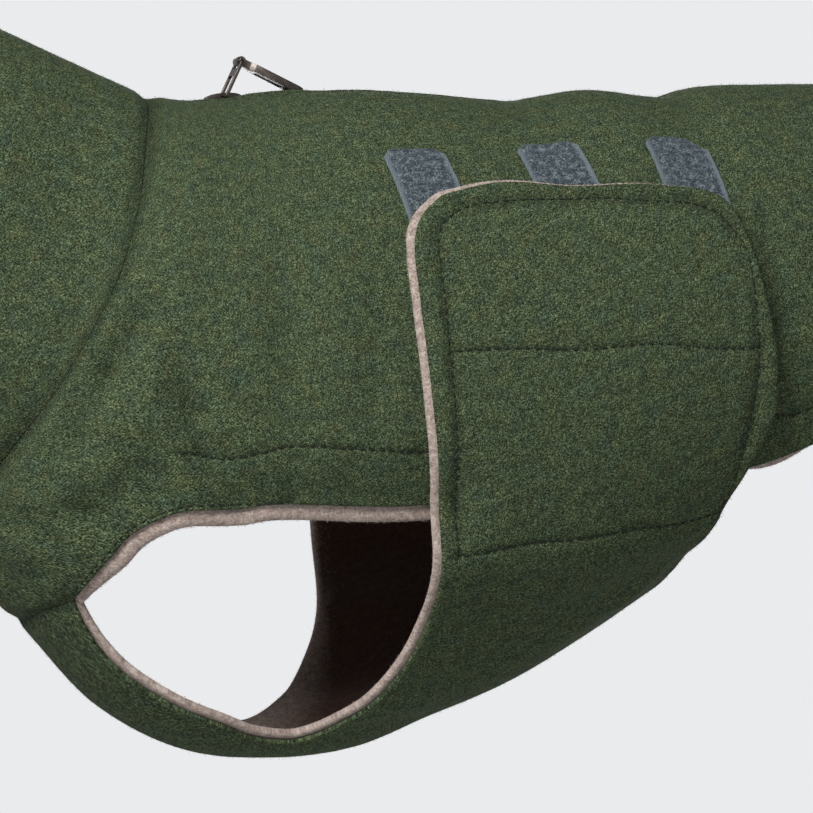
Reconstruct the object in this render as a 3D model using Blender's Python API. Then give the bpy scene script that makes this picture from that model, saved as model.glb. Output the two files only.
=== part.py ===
"""Dog winter coat: felted wool over a fleece lining, in its worn shape, hollow inside.

Every cloth piece is a patch of one smooth trunk form. A place on the form is a
station (metres along the side, growing towards the tail) and a turn (degrees
round the trunk: 0 on the back line, 180 on the belly line, left side first).
The pieces lie in layers, each a lift above or below the face of the wool, and
pieces that lie on each other share the points of one net.

Metres, +X towards the tail, +Z up. The origin is where the lining rests on the
wearer's withers, on the lining's under face at the back line.
"""

import math
from collections import namedtuple

import bmesh
import bpy
from mathutils import Matrix, Vector
from mathutils.geometry import delaunay_2d_cdt

# ---------------------------------------------------------------- cloth sizes
WOOL = 0.0018
FLEECE = 0.0028
GAP = 0.0003                # between pieces that meet or lie on each other
HALF_GAP = GAP / 2
LINING_TOP = -WOOL - GAP
LINING_UNDER = LINING_TOP - FLEECE
LOOP_TAPE = 0.0010          # thickness of the fastening tape on the back
FLAP_CLEAR = 0.0024         # under the flap's lining, room for hook and loop
FLAP_RISE = FLAP_CLEAR - LINING_UNDER

# ------------------------------------- how far the lining shows past the wool
RIM_LEG_HOLE = 0.0045
RIM_HEM = 0.0018
RIM_COLLAR = 0.0020
RIM_STRAP = 0.0030
RIM_FLAP_FRONT = 0.0022
RIM_FLAP_TOP = 0.0012

# ------------------------------------------------------------------- the form
# A ring's widest place is a share of the way down it. Its upper and its lower half
# are parts of superellipses, rounder or more pointed as the power says.
Ring = namedtuple("Ring", "station top_x top_z bottom_x bottom_z half_width widest over under")
RINGS = (
    Ring(-0.145, -0.0920, 0.0370, -0.1405, -0.0830, 0.0485, 0.50, 2.1, 2.1),
    Ring(-0.115, -0.0660, 0.0273, -0.1180, -0.0960, 0.0495, 0.50, 2.1, 2.1),
    Ring(-0.090, -0.0430, 0.0174, -0.0980, -0.1100, 0.0515, 0.50, 2.1, 2.1),
    Ring(-0.062, -0.0160, 0.0063, -0.0760, -0.1260, 0.0555, 0.50, 2.1, 2.1),
    Ring(-0.051, -0.0110, 0.0057, -0.0745, -0.1380, 0.0600, 0.51, 2.1, 2.1),
    Ring(-0.040, -0.0065, 0.0052, -0.0688, -0.1528, 0.0655, 0.52, 2.1, 2.0),
    Ring(-0.028, -0.0015, 0.0049, -0.0528, -0.1690, 0.0695, 0.52, 2.15, 1.95),
    Ring(-0.014, 0.0045, 0.0050, -0.0312, -0.1920, 0.0715, 0.52, 2.2, 1.9),
    Ring(0.004, 0.0140, 0.0057, -0.0033, -0.2070, 0.0735, 0.52, 2.2, 1.85),
    Ring(0.030, 0.0320, 0.0077, 0.0280, -0.2110, 0.0750, 0.51, 2.2, 1.85),
    Ring(0.055, 0.0550, 0.0093, 0.0550, -0.2075, 0.0760, 0.50, 2.2, 1.9),
    Ring(0.080, 0.0800, 0.0085, 0.0800, -0.1988, 0.0765, 0.50, 2.2, 1.9),
    Ring(0.108, 0.1080, 0.0064, 0.1080, -0.1873, 0.0760, 0.50, 2.2, 1.95),
    Ring(0.135, 0.1350, 0.0111, 0.1350, -0.1720, 0.0745, 0.50, 2.2, 2.0),
    Ring(0.161, 0.1610, 0.0096, 0.1610, -0.1560, 0.0725, 0.50, 2.2, 2.0),
    Ring(0.176, 0.1760, 0.0128, 0.1760, -0.1500, 0.0715, 0.50, 2.2, 2.0),
    Ring(0.200, 0.2000, 0.0148, 0.2000, -0.1440, 0.0695, 0.50, 2.2, 2.0),
    Ring(0.225, 0.2250, 0.0150, 0.2250, -0.1400, 0.0670, 0.50, 2.2, 2.0),
    Ring(0.260, 0.2600, 0.0125, 0.2600, -0.1380, 0.0630, 0.50, 2.15, 2.0),
    Ring(0.300, 0.3000, 0.0050, 0.3000, -0.1370, 0.0580, 0.50, 2.1, 2.0),
    Ring(0.352, 0.3520, -0.0125, 0.3470, -0.1370, 0.0515, 0.50, 2.1, 2.0),
)
COLLAR_END = -0.138
NECK_SEAM = -0.062
TAIL_EDGE = 0.344
BACK, BELLY = 0, 180        # turns of the two centre lines

# The neck seam swings back towards the tail on the shoulder.
NECK_SWING = 0.0113
NECK_SWING_TURN = 80
NECK_SWING_ABOVE = 24       # degrees over which it dies away
NECK_SWING_BELOW = 36

# --------------------------------------------------------------------- folds
# A soft trough along a short line, with its depth on the left and on the right.
Fold = namedtuple("Fold", "station turn end_station end_turn width depth right_depth")
FOLDS = (
    Fold(-0.0341, 81, -0.0417, 101, 0.0065, 0.0032, 0.0026),
    Fold(-0.0417, 101, -0.0491, 120, 0.0065, 0.0024, 0.0020),
    Fold(-0.0229, 86, -0.0145, 92, 0.0060, 0.0020, 0.0028),
    Fold(-0.0145, 92, -0.0017, 100, 0.0060, 0.0024, 0.0020),
    Fold(-0.0386, 138, -0.0212, 110, 0.0065, 0.0022, 0.0018),
    Fold(0.0144, 71, 0.0166, 84, 0.0090, 0.0012, 0.0016),
)

# ------------------------------------------------------------------- outlines
Place = namedtuple("Place", "station turn")
STRAP_SEAM = (
    Place(-0.0306, BELLY),
    Place(-0.0302, 164),
    Place(-0.0289, 156.2),
    Place(-0.0268, 147.5),
)
LEG_HOLE = (
    STRAP_SEAM[-1],
    Place(-0.0256, 137.2),
    Place(-0.0242, 130),
    Place(-0.0222, 122),
    Place(-0.0177, 114.4),
    Place(-0.0112, 108.9),
    Place(0.0010, 105.5),
    Place(0.0185, 103.7),
    Place(0.0700, 107.5),
)
HEM = (
    LEG_HOLE[-1],
    Place(0.1150, 111),
    Place(0.1450, 117.3),
    Place(0.1700, 123.5),
    Place(0.1962, 121.6),
    Place(0.2500, 108),
    Place(0.2900, 94),
    Place(0.3180, 76),
    Place(0.3330, 54),
    Place(0.3410, 30),
    Place(TAIL_EDGE, BACK),
)
STRAP_EDGE = (
    STRAP_SEAM[-1],
    Place(-0.0224, 151),
    Place(-0.0175, 152.7),
    Place(-0.0053, 153.6),
    Place(0.0085, 155.2),
    Place(0.0190, 159.4),
    Place(0.0294, 161.5),
)
FLAP_FRONT = (
    STRAP_EDGE[-1],
    Place(0.0357, 159.6),
    Place(0.0448, 154),
    Place(0.0514, 149.3),
    Place(0.0585, 141.2),
    Place(0.0630, 133.5),
    Place(0.0644, 124.5),
    Place(0.0634, 110),
    Place(0.0607, 96),
    Place(0.0575, 80.8),
    Place(0.0554, 68),
    Place(0.0557, 62),
)
FLAP_TOP = (
    FLAP_FRONT[-1],
    Place(0.0580, 58.3),
    Place(0.0623, 55.5),
    Place(0.0700, 52.9),
    Place(0.0956, 51),
    Place(0.1390, 56.9),
    Place(0.1525, 58.4),
    Place(0.1600, 61.1),
    Place(0.1642, 65),
)
FLAP_REAR = (
    FLAP_TOP[-1],
    Place(0.1682, 73.5),
    Place(0.1749, 93.3),
    Place(0.1763, 101),
    Place(0.1754, 109.5),
    Place(0.1701, 120.6),
    Place(0.1655, 129),
    Place(0.1622, 138),
    Place(0.1598, 148),
    Place(0.1573, 160),
    Place(0.1559, 170),
    Place(0.1555, BELLY),
)

# The belly panel leaves the trunk below the hem and lies outside it above.
HEM_UNDER_FLAP = (Place(0.0618, 107), Place(0.1700, 123))
RISE_DONE = 6               # degrees below the hem
RISE_START = 27

# --------------------------------------------------- loop tapes on the back
LoopTape = namedtuple("LoopTape", "station turn lean rear_cut")
LOOP_TAPES = (
    LoopTape(0.0611, 39.3, 0.24, 0.0025),
    LoopTape(0.1069, 37.0, 0.22, 0.0025),
    LoopTape(0.1505, 39.8, 0.15, 0.0065),
)
LOOP_WIDTH = 0.0210
LOOP_LENGTH = 0.0520
LOOP_CUT = 0.0028           # at the front corner
LOOP_DEGREE = 0.0013        # metres of cloth for a degree of turn on the shoulder

# ------------------------------------------------------------------------ zip
ZIP_START = -0.0205
ZIP_END = 0.1070
ZIP_WOOL_GAP = 0.0050       # from the middle to the edge of the wool
ZIP_TAPE = 0.0010
ZIP_TAPE_INNER = 0.0028
ZIP_TAPE_OUTER = 0.0120
CHAIN_HALF = ZIP_TAPE_INNER - GAP
CHAIN_TOP = -0.0016
CHAIN_UNDER = LINING_TOP - ZIP_TAPE

SLIDER_STATION = 0.0005
SLIDER_LENGTH = 0.0140
SLIDER_HALF = 0.0044
SLIDER_HALF_REAR = 0.0036
SLIDER_TOP = -0.0002        # lift of the upper plate's face
SLIDER_PLATE = 0.0010
SLIDER_BEND = 0.0001        # how far the back line bends away over the slider's length
SLIDER_UNDER = CHAIN_UNDER - GAP - SLIDER_BEND
POST_LENGTH = 0.0032
POST_HALF = 0.0012
BRIDGE_LENGTH = 0.0078
BRIDGE_HALF = 0.0014
BRIDGE_SHEET = 0.0008

# Pull: a wire link under the slider's bridge and a tab rolled round the link.
WIRE = 0.0011
LINK_LENGTH = 0.0133
LINK_HALF = 0.00385         # to the middle of the wire
LINK_BEND = 0.0014
LINK_TILT = 65
TAB_LENGTH = 0.0232
TAB_HALF = 0.0037
TAB_NECK = 0.0036
TAB_NECK_HALF = 0.0024
TAB_SHOULDER = 0.0012
TAB_SHEET = 0.0020
TAB_EYE = 0.0014
TAB_EYE_HOLE = 0.0009
TAB_TILT = 25
TAB_CORNER = 0.0022
TAB_SLOT = (0.0178, 0.0194)
TAB_SLOT_HALF = 0.0020

# ------------------------------------------------------------------------ net
DEGREE = 0.0015             # metres of cloth for a degree of turn, near enough
NET_STATION = 0.0150
NET_TURN = 9
NET_CLEAR = 0.0068          # between an outline and the net's own points
EDGE_STEP = 0.0145
BEND_STEP = 0.0085          # finer, for the belly panel's bends

# ------------------------------------------------------------------- finishes
Finish = namedtuple("Finish", "rgb roughness metallic")
WOOL_GREEN = Finish((0.045, 0.072, 0.036), 0.95, 0)
FLEECE_TAUPE = Finish((0.36, 0.29, 0.26), 1.0, 0)
LOOP_BLUE = Finish((0.13, 0.17, 0.22), 0.9, 0)
ZIP_GREEN = Finish((0.012, 0.018, 0.012), 0.9, 0)
GUNMETAL = Finish((0.07, 0.065, 0.06), 0.38, 1)


# ==================================================================== the form
def smooth_value(before, low, high, after, share):
    """Value on a smooth curve that runs from low to high."""
    return 0.5 * (
        2 * low
        + (high - before) * share
        + (2 * before - 5 * low + 4 * high - after) * share**2
        + (3 * low - before - 3 * high + after) * share**3
    )


def section(station):
    """The form's ring at a station, on smooth curves through the table."""
    last = len(RINGS) - 1
    k = 0
    while k < last - 1 and station > RINGS[k + 1].station:
        k += 1
    low, high = RINGS[k], RINGS[k + 1]
    before, after = RINGS[max(k - 1, 0)], RINGS[min(k + 2, last)]
    span = high.station - low.station
    share = (station - low.station) / span
    found = [station]
    for column in range(1, len(Ring._fields)):
        steep_low = (high[column] - before[column]) / (high.station - before.station) * span
        steep_high = (after[column] - low[column]) / (after.station - low.station) * span
        found.append(
            low[column] * (2 * share**3 - 3 * share**2 + 1)
            + steep_low * (share**3 - 2 * share**2 + share)
            + high[column] * (3 * share**2 - 2 * share**3)
            + steep_high * (share**3 - share**2)
        )
    return Ring(*found)


def form_point(station, turn):
    """Point of the wool's face, before folds."""
    ring = section(station)
    across, up = math.sin(math.radians(turn)), math.cos(math.radians(turn))
    power = 2 / (ring.over if up >= 0 else ring.under)
    reach = ring.half_width * math.copysign(abs(across) ** power, across)
    if up >= 0:
        drop = ring.widest * (1 - up**power)
    else:
        drop = ring.widest + (1 - ring.widest) * (-up) ** power
    return Vector(
        (
            ring.top_x + (ring.bottom_x - ring.top_x) * drop,
            -reach,
            ring.top_z + (ring.bottom_z - ring.top_z) * drop,
        )
    )


def form_slopes(station, turn):
    """How the form's point moves for a metre of station and for a degree of turn."""
    step, angle = 0.0008, 0.6
    along = (form_point(station + step, turn) - form_point(station - step, turn)) / (2 * step)
    around = (form_point(station, turn + angle) - form_point(station, turn - angle)) / (2 * angle)
    return along, around


def form_normal(station, turn):
    """Outward direction of the form."""
    along, around = form_slopes(station, turn)
    return around.cross(along).normalized()


def fold_depth(station, turn):
    """How far the folds push the cloth in."""
    right = math.sin(math.radians(turn)) < 0
    side_turn = abs((turn + BELLY) % 360 - BELLY)
    depth = 0.0
    for fold in FOLDS:
        start = Vector((fold.station, fold.turn * DEGREE))
        run = Vector((fold.end_station, fold.end_turn * DEGREE)) - start
        here = Vector((station, side_turn * DEGREE)) - start
        share = min(1.0, max(0.0, here.dot(run) / run.length_squared))
        away = (here - run * share).length
        deep = fold.right_depth if right else fold.depth
        depth += deep * math.exp(-((away / fold.width) ** 2))
    return depth


def on_coat(station, turn, lift):
    """Point at a lift above the wool's face, folds included."""
    rise = lift - fold_depth(station, turn)
    return form_point(station, turn) + form_normal(station, turn) * rise


def no_rise(station, turn):
    """Rise of a piece that stays in its own layer."""
    return 0.0


def flap_rise(station, turn):
    """Rise of the belly panel, which passes from the trunk's layer to outside the back."""
    front, rear = HEM_UNDER_FLAP
    share = (station - front.station) / (rear.station - front.station)
    hem = front.turn + (rear.turn - front.turn) * min(1.0, max(0.0, share))
    side_turn = abs((turn + BELLY) % 360 - BELLY)
    up = (hem + RISE_START - side_turn) / (RISE_START - RISE_DONE)
    up = min(1.0, max(0.0, up))
    return FLAP_RISE * up * up * (3 - 2 * up)


# ==================================================================== outlines
def neck_seam(turn):
    """Station of the neck seam at a turn."""
    width = NECK_SWING_ABOVE if turn < NECK_SWING_TURN else NECK_SWING_BELOW
    away = (turn - NECK_SWING_TURN) / width
    return NECK_SEAM + NECK_SWING * math.exp(-away * away)


def beside_back_line(station, distance):
    """Place at a real distance to the left of the back line."""
    ring = section(station)
    across = (distance / ring.half_width) ** (ring.over / 2)
    return Place(station, math.degrees(math.asin(across)))


def even(start, end, step=EDGE_STEP):
    """Numbers from start to end, about a step apart."""
    count = max(1, round(abs(end - start) / step))
    return [start + (end - start) * i / count for i in range(count + 1)]


def smooth_run(points, step=EDGE_STEP, lead=None, follow=None):
    """Places a step apart on a smooth line through points, which may lead in from and on to another."""
    line = [lead or points[0], *points, follow or points[-1]]
    fine, parts = [], 12
    for four in zip(line, line[1:], line[2:], line[3:]):
        for k in range(parts):
            fine.append(Place(*(smooth_value(*column, k / parts) for column in zip(*four))))
    fine.append(points[-1])
    reached = [0.0]
    for a, b in zip(fine, fine[1:]):
        reached.append(reached[-1] + (form_point(*b) - form_point(*a)).length)
    found, k = [], 0
    for wanted in even(0.0, reached[-1], step):
        while k < len(fine) - 2 and reached[k + 1] < wanted:
            k += 1
        share = (wanted - reached[k]) / (reached[k + 1] - reached[k])
        found.append(Place(*(a + (b - a) * share for a, b in zip(fine[k], fine[k + 1]))))
    return found


def stepped(place, step):
    """Place that a small step, in metres, leads to."""
    along, around = form_slopes(*place)
    aa, bb, ab = along.dot(along), around.dot(around), along.dot(around)
    sa, sb = step.dot(along), step.dot(around)
    scale = aa * bb - ab * ab
    return Place(place.station + (sa * bb - sb * ab) / scale, place.turn + (sb * aa - sa * ab) / scale)


def mitre(first, one, second, two):
    """Step that reaches a distance past each of two edges, given their outward directions."""
    lean = first.dot(second)
    if lean > 0.9:
        return (first + second) * (one + two) / (2 + 2 * lean)
    return (first * (one - lean * two) + second * (two - lean * one)) / (1 - lean * lean)


def outward(start, end, normal):
    """Direction that lies on the form and points out of an edge."""
    return normal.cross(form_point(*end) - form_point(*start)).normalized()


# A stretch of an outline and how far the cut reaches past it. Where two rims meet at a
# seam, the stretch before goes on to their corner, and this one starts from there.
Run = namedtuple("Run", "places offset corner", defaults=(None,))
Knot = namedtuple("Knot", "place before one after two")


def outline(*runs, closed=True):
    """Line of places through runs that meet end to start, each moved out by its own offset."""
    knots = []
    for last, run in zip(runs[-1:] + runs[:-1], runs):
        start, following = run.places[:2]
        if run.corner:
            knots.append(Knot(start, last.places[-2], last.offset, run.corner, last.offset))
            knots.append(Knot(run.corner, start, last.offset, None, 0.0))
        else:
            knots.append(Knot(start, last.places[-2], last.offset, following, run.offset))
        for before, place, after in zip(run.places, run.places[1:], run.places[2:]):
            knots.append(Knot(place, before, run.offset, after, run.offset))
    if not closed:
        end = runs[-1]
        knots[0] = knots[0]._replace(before=None)
        knots.append(Knot(end.places[-1], end.places[-2], end.offset, None, 0.0))
    places = [knot.place for knot in knots]
    area = sum(
        a.station * b.turn - b.station * a.turn for a, b in zip(places, places[1:] + places[:1])
    )
    moved = []
    for knot in knots:
        normal = form_normal(*knot.place) * math.copysign(1, area)
        if knot.before is None:
            step = outward(knot.place, knot.after, normal) * knot.two
        elif knot.after is None:
            step = outward(knot.before, knot.place, normal) * knot.one
        else:
            first = outward(knot.before, knot.place, normal)
            second = outward(knot.place, knot.after, normal)
            step = mitre(first, knot.one, second, knot.two)
        moved.append(stepped(knot.place, step))
    return moved


def within(point, line):
    """True if a chart point lies inside a closed chart line."""
    inside = False
    for a, b in zip(line, line[1:] + line[:1]):
        if (a.y > point.y) != (b.y > point.y):
            crossing = a.x + (b.x - a.x) * (point.y - a.y) / (b.y - a.y)
            inside ^= point.x < crossing
    return inside


def away_from(point, a, b):
    """Distance from a chart point to the stretch from a to b."""
    run = b - a
    share = min(1.0, max(0.0, (point - a).dot(run) / run.length_squared))
    return (point - a - run * share).length


# ======================================================================== nets
def on_chart(place):
    """A place as a point of the flat chart, both ways in metres."""
    return Vector((place.station, place.turn * DEGREE))


def fold_spots():
    """Places along the folds and on both their shoulders."""
    spots = []
    for fold in FOLDS:
        start = on_chart(Place(fold.station, fold.turn))
        run = on_chart(Place(fold.end_station, fold.end_turn)) - start
        beside = Vector((-run.y, run.x)).normalized() * fold.width
        for reach in even(0.0, run.length, NET_CLEAR * 1.5):
            for side in (-1, 0, 1):
                spot = start + run * (reach / run.length) + beside * side
                spots.append(Place(spot.x, spot.y / DEGREE))
    return spots


Net = namedtuple("Net", "places triangles")


def lay_net(lines, spots=()):
    """Net of triangles whose edges follow every closed line."""
    points, index, edges = [], {}, set()

    def knot(place):
        key = (round(place.station, 6), round(place.turn, 3))
        if key not in index:
            index[key] = len(points)
            points.append(on_chart(place))
        return index[key]

    for line in lines:
        loop = [knot(place) for place in line]
        edges.update(zip(loop, loop[1:] + loop[:1]))
    charts = [[on_chart(place) for place in line] for line in lines]
    stretches = [(points[a], points[b]) for a, b in edges]
    stations = [place.station for line in lines for place in line]
    turns = [place.turn for line in lines for place in line]
    inner = []

    def add_inner(place, clear):
        point = on_chart(place)
        if not any(within(point, chart) for chart in charts):
            return
        if any(away_from(point, a, b) < clear for a, b in stretches):
            return
        if any((point - other).length < clear for other in inner):
            return
        inner.append(point)
        knot(place)

    for spot in spots:
        add_inner(spot, NET_CLEAR * 0.7)
    for i in range(math.ceil(min(stations) / NET_STATION), math.floor(max(stations) / NET_STATION) + 1):
        for k in range(math.ceil(min(turns) / NET_TURN), math.floor(max(turns) / NET_TURN) + 1):
            add_inner(Place(i * NET_STATION, k * NET_TURN), NET_CLEAR)
    spread, _, triangles, *_ = delaunay_2d_cdt(points, list(edges), [], 0, 1e-6)
    places = [Place(point.x, point.y / DEGREE) for point in spread]
    return Net(places, triangles)


# ====================================================================== meshes
def add_object(name, mesh, finish):
    """Object of a mesh, smooth but for its sharp edges, with a material of its own."""
    mesh.shade_smooth()
    mesh.set_sharp_from_angle(angle=math.radians(40))
    return link_object(bpy.data.objects.new(name, mesh), finish)


def link_object(obj, finish):
    """Puts an object into the scene and gives it its material."""
    bpy.context.scene.collection.objects.link(obj)
    material = bpy.data.materials.new(obj.name)
    material.use_nodes = True
    shader = material.node_tree.nodes["Principled BSDF"]
    shader.inputs["Base Color"].default_value = (*finish.rgb, 1)
    shader.inputs["Roughness"].default_value = finish.roughness
    shader.inputs["Metallic"].default_value = finish.metallic
    obj.data.materials.append(material)
    return obj


def closed_mesh(name, points, faces):
    """Closed mesh of triangles with its faces pointing out."""
    mesh = bpy.data.meshes.new(name)
    mesh.from_pydata(points, [], faces)
    bm = bmesh.new()
    bm.from_mesh(mesh)
    bmesh.ops.recalc_face_normals(bm, faces=bm.faces)
    bmesh.ops.triangulate(bm, faces=bm.faces)
    bm.to_mesh(mesh)
    bm.free()
    return mesh


def wall(name, net, line, lifts, finish, rise=no_rise, side=1):
    """Closed cloth wall over the net's triangles inside a line, between two lifts."""
    chart = [on_chart(place) for place in line]
    kept = []
    for triangle in net.triangles:
        middle = sum((on_chart(net.places[k]) for k in triangle), Vector((0, 0))) / 3
        if within(middle, chart):
            kept.append(triangle)
    used = sorted({k for triangle in kept for k in triangle})
    order = {k: i for i, k in enumerate(used)}
    points = []
    for lift in lifts:
        for k in used:
            station, turn = net.places[k]
            points.append(on_coat(station, side * turn, lift + rise(station, turn)))
    under = len(used)
    sides = {(order[t[i]], order[t[i - 1]]) for t in kept for i in range(3)}
    faces = [[order[k] for k in triangle] for triangle in kept]
    faces += [[order[k] + under for k in reversed(triangle)] for triangle in kept]
    faces += [(a, b, b + under, a + under) for a, b in sides if (b, a) not in sides]
    return add_object(name, closed_mesh(name, points, faces), finish)


def prism(name, corners, thickness, finish):
    """Flat polygon drawn out along a vector."""
    count = len(corners)
    points = list(corners) + [corner + thickness for corner in corners]
    faces = [range(count), range(2 * count - 1, count - 1, -1)]
    faces += [(k, (k + 1) % count, (k + 1) % count + count, k + count) for k in range(count)]
    return add_object(name, closed_mesh(name, points, faces), finish)


def across_rod(name, radius, half, finish):
    """Round rod along Y through the origin."""
    mesh = bpy.data.meshes.new(name)
    bm = bmesh.new()
    turned = Matrix.Rotation(math.radians(90), 4, "X")
    bmesh.ops.create_cone(
        bm, cap_ends=True, segments=20, radius1=radius, radius2=radius, depth=2 * half, matrix=turned
    )
    bm.to_mesh(mesh)
    bm.free()
    return add_object(name, mesh, finish)


def combine(obj, operation, tool):
    """Adds a Boolean with a tool object, which the build leaves out."""
    tool.hide_render = True
    tool.display_type = "WIRE"
    modifier = obj.modifiers.new(operation.title(), "BOOLEAN")
    modifier.operation = operation
    modifier.object = tool
    tool.location, tool.rotation_euler = obj.location, obj.rotation_euler


# ================================================================= back panels
def zip_line(distance, end_gap=0.0):
    """Places beside the zip, from its front end to its rear one."""
    ahead = even(ZIP_START + end_gap, ZIP_END - end_gap)
    return [beside_back_line(station, distance) for station in ahead]


def back_line(zip_gap):
    """Places along the back line from the tail to the neck seam, parted round the zip."""
    behind = [beside_back_line(station, HALF_GAP) for station in even(TAIL_EDGE, ZIP_END)]
    ahead = [beside_back_line(station, HALF_GAP) for station in even(ZIP_START, NECK_SEAM)]
    return behind + zip_line(zip_gap)[::-1] + ahead


def neck_run():
    """Places along the neck seam, from the back line to the throat."""
    down = [Place(neck_seam(turn), turn) for turn in even(NET_TURN, BELLY, NET_TURN)]
    return [beside_back_line(NECK_SEAM, HALF_GAP), *down]


def rim_corner():
    """Where the rims of the leg hole and of the strap meet, at the end of the strap seam."""
    corner, leg_hole, strap = STRAP_SEAM[-1], smooth_run(LEG_HOLE)[1], smooth_run(STRAP_EDGE)[1]
    normal = form_normal(*corner)
    past_leg_hole = outward(leg_hole, corner, normal)
    past_strap = outward(corner, strap, normal)
    return stepped(corner, mitre(past_leg_hole, RIM_LEG_HOLE, past_strap, RIM_STRAP))


def back_outline(zip_gap, rim_leg_hole, rim_hem, corner):
    """Outline of one back panel, which reaches down to the chest in front of the leg hole."""
    neck = neck_run()
    hem = smooth_run(HEM)
    hem[-1] = beside_back_line(TAIL_EDGE, HALF_GAP)
    return outline(
        Run(neck, -HALF_GAP),
        Run(smooth_run((neck[-1], STRAP_SEAM[0])), -HALF_GAP),
        Run(smooth_run(STRAP_SEAM), -HALF_GAP),
        Run(smooth_run(LEG_HOLE), rim_leg_hole, corner),
        Run(hem, rim_hem),
        Run(back_line(zip_gap), 0.0),
    )


def loop_outline(tape):
    """Outline of a loop tape, which leans towards the tail as it runs down."""
    half = LOOP_WIDTH / 2
    corners = (
        (-half, LOOP_CUT),
        (-half + LOOP_CUT, 0.0),
        (half - tape.rear_cut, 0.0),
        (half, tape.rear_cut),
        (half, LOOP_LENGTH),
        (-half, LOOP_LENGTH),
    )
    line = []
    for (along, down), (next_along, next_down) in zip(corners, corners[1:] + corners[:1]):
        length = math.hypot(next_along - along, next_down - down)
        for share in even(0.0, 1.0, EDGE_STEP / length)[:-1]:
            here = along + (next_along - along) * share
            deep = down + (next_down - down) * share
            station = tape.station + here + tape.lean * deep
            line.append(Place(station, tape.turn + deep / LOOP_DEGREE))
    return line


def make_back():
    """Both back panels, their lining, the loop tapes on them and the zip's tapes."""
    wool = back_outline(ZIP_WOOL_GAP, 0.0, 0.0, None)
    lining = back_outline(ZIP_TAPE_OUTER + GAP, RIM_LEG_HOLE, RIM_HEM, rim_corner())
    zip_tape = zip_line(ZIP_TAPE_INNER, GAP) + zip_line(ZIP_TAPE_OUTER, GAP)[::-1]
    loops = [loop_outline(tape) for tape in LOOP_TAPES]
    net = lay_net([wool, lining, zip_tape, *loops], fold_spots())
    for side, name in ((1, "left"), (-1, "right")):
        wall("back_" + name, net, wool, (0.0, -WOOL), WOOL_GREEN, side=side)
        under = (LINING_TOP, LINING_UNDER)
        wall("back_lining_" + name, net, lining, under, FLEECE_TAUPE, side=side)
        tape_lifts = (LINING_TOP, CHAIN_UNDER)
        wall("zip_tape_" + name, net, zip_tape, tape_lifts, ZIP_GREEN, side=side)
        for number, loop in enumerate(loops, start=1):
            loop_name = f"loop_tape_{name}_{number}"
            wall(loop_name, net, loop, (GAP + LOOP_TAPE, GAP), LOOP_BLUE, side=side)


# ====================================================================== collar
def collar_outline(rim):
    """Outline of half the collar."""
    neck = neck_run()
    back = [beside_back_line(station, HALF_GAP) for station in even(NECK_SEAM, COLLAR_END)]
    throat = [Place(station, BELLY) for station in even(COLLAR_END, NECK_SEAM)]
    end = [back[-1]] + [Place(COLLAR_END, turn) for turn in even(NET_TURN, BELLY, NET_TURN)]
    return outline(
        Run(back, 0.0), Run(end, rim), Run(throat, -HALF_GAP), Run(neck[::-1], -HALF_GAP)
    )


def make_collar():
    """Both halves of the collar and their lining."""
    wool, lining = collar_outline(0.0), collar_outline(RIM_COLLAR)
    net = lay_net([wool, lining])
    for side, name in ((1, "left"), (-1, "right")):
        wall("collar_" + name, net, wool, (0.0, -WOOL), WOOL_GREEN, side=side)
        under = (LINING_TOP, LINING_UNDER)
        wall("collar_lining_" + name, net, lining, under, FLEECE_TAUPE, side=side)


# ================================================================= belly panel
def belly_outline(rim_strap, rim_front, rim_top, corner):
    """Outline of the chest strap and belly panel with its two flaps."""
    strap_edge = smooth_run(STRAP_EDGE, BEND_STEP, follow=FLAP_FRONT[1])
    front = smooth_run(FLAP_FRONT, BEND_STEP, STRAP_EDGE[-2], FLAP_TOP[1])
    top = smooth_run(FLAP_TOP, BEND_STEP, FLAP_FRONT[-2], FLAP_REAR[1])
    rear = smooth_run(FLAP_REAR, BEND_STEP, FLAP_TOP[-2])
    left = outline(
        Run(smooth_run(STRAP_SEAM), -HALF_GAP),
        Run(strap_edge, rim_strap, corner),
        Run(front, rim_front),
        Run(top, rim_top),
        Run(rear, 0.0),
        closed=False,
    )
    left[0], left[-1] = Place(left[0].station, BELLY), Place(left[-1].station, BELLY)
    right = [Place(place.station, 2 * BELLY - place.turn) for place in reversed(left)]
    return left + right[1:-1]


def make_belly():
    """Belly panel and its lining, each one piece from flap to flap."""
    wool = belly_outline(0.0, 0.0, 0.0, None)
    lining = belly_outline(RIM_STRAP, RIM_FLAP_FRONT, RIM_FLAP_TOP, rim_corner())
    net = lay_net([wool, lining])
    wall("belly_panel", net, wool, (0.0, -WOOL), WOOL_GREEN, rise=flap_rise)
    under = (LINING_TOP, LINING_UNDER)
    wall("belly_lining", net, lining, under, FLEECE_TAUPE, rise=flap_rise)


# ================================================================= zip hardware
def slider_point(lift=0.0):
    """Point above the back line, square to it, where the slider sits."""
    return on_coat(SLIDER_STATION, BACK, lift)


def slider_tilt():
    """Turn about Y that lays the slider along the back line."""
    along, _ = form_slopes(SLIDER_STATION, BACK)
    return -math.atan2(along.z, along.x)


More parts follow.
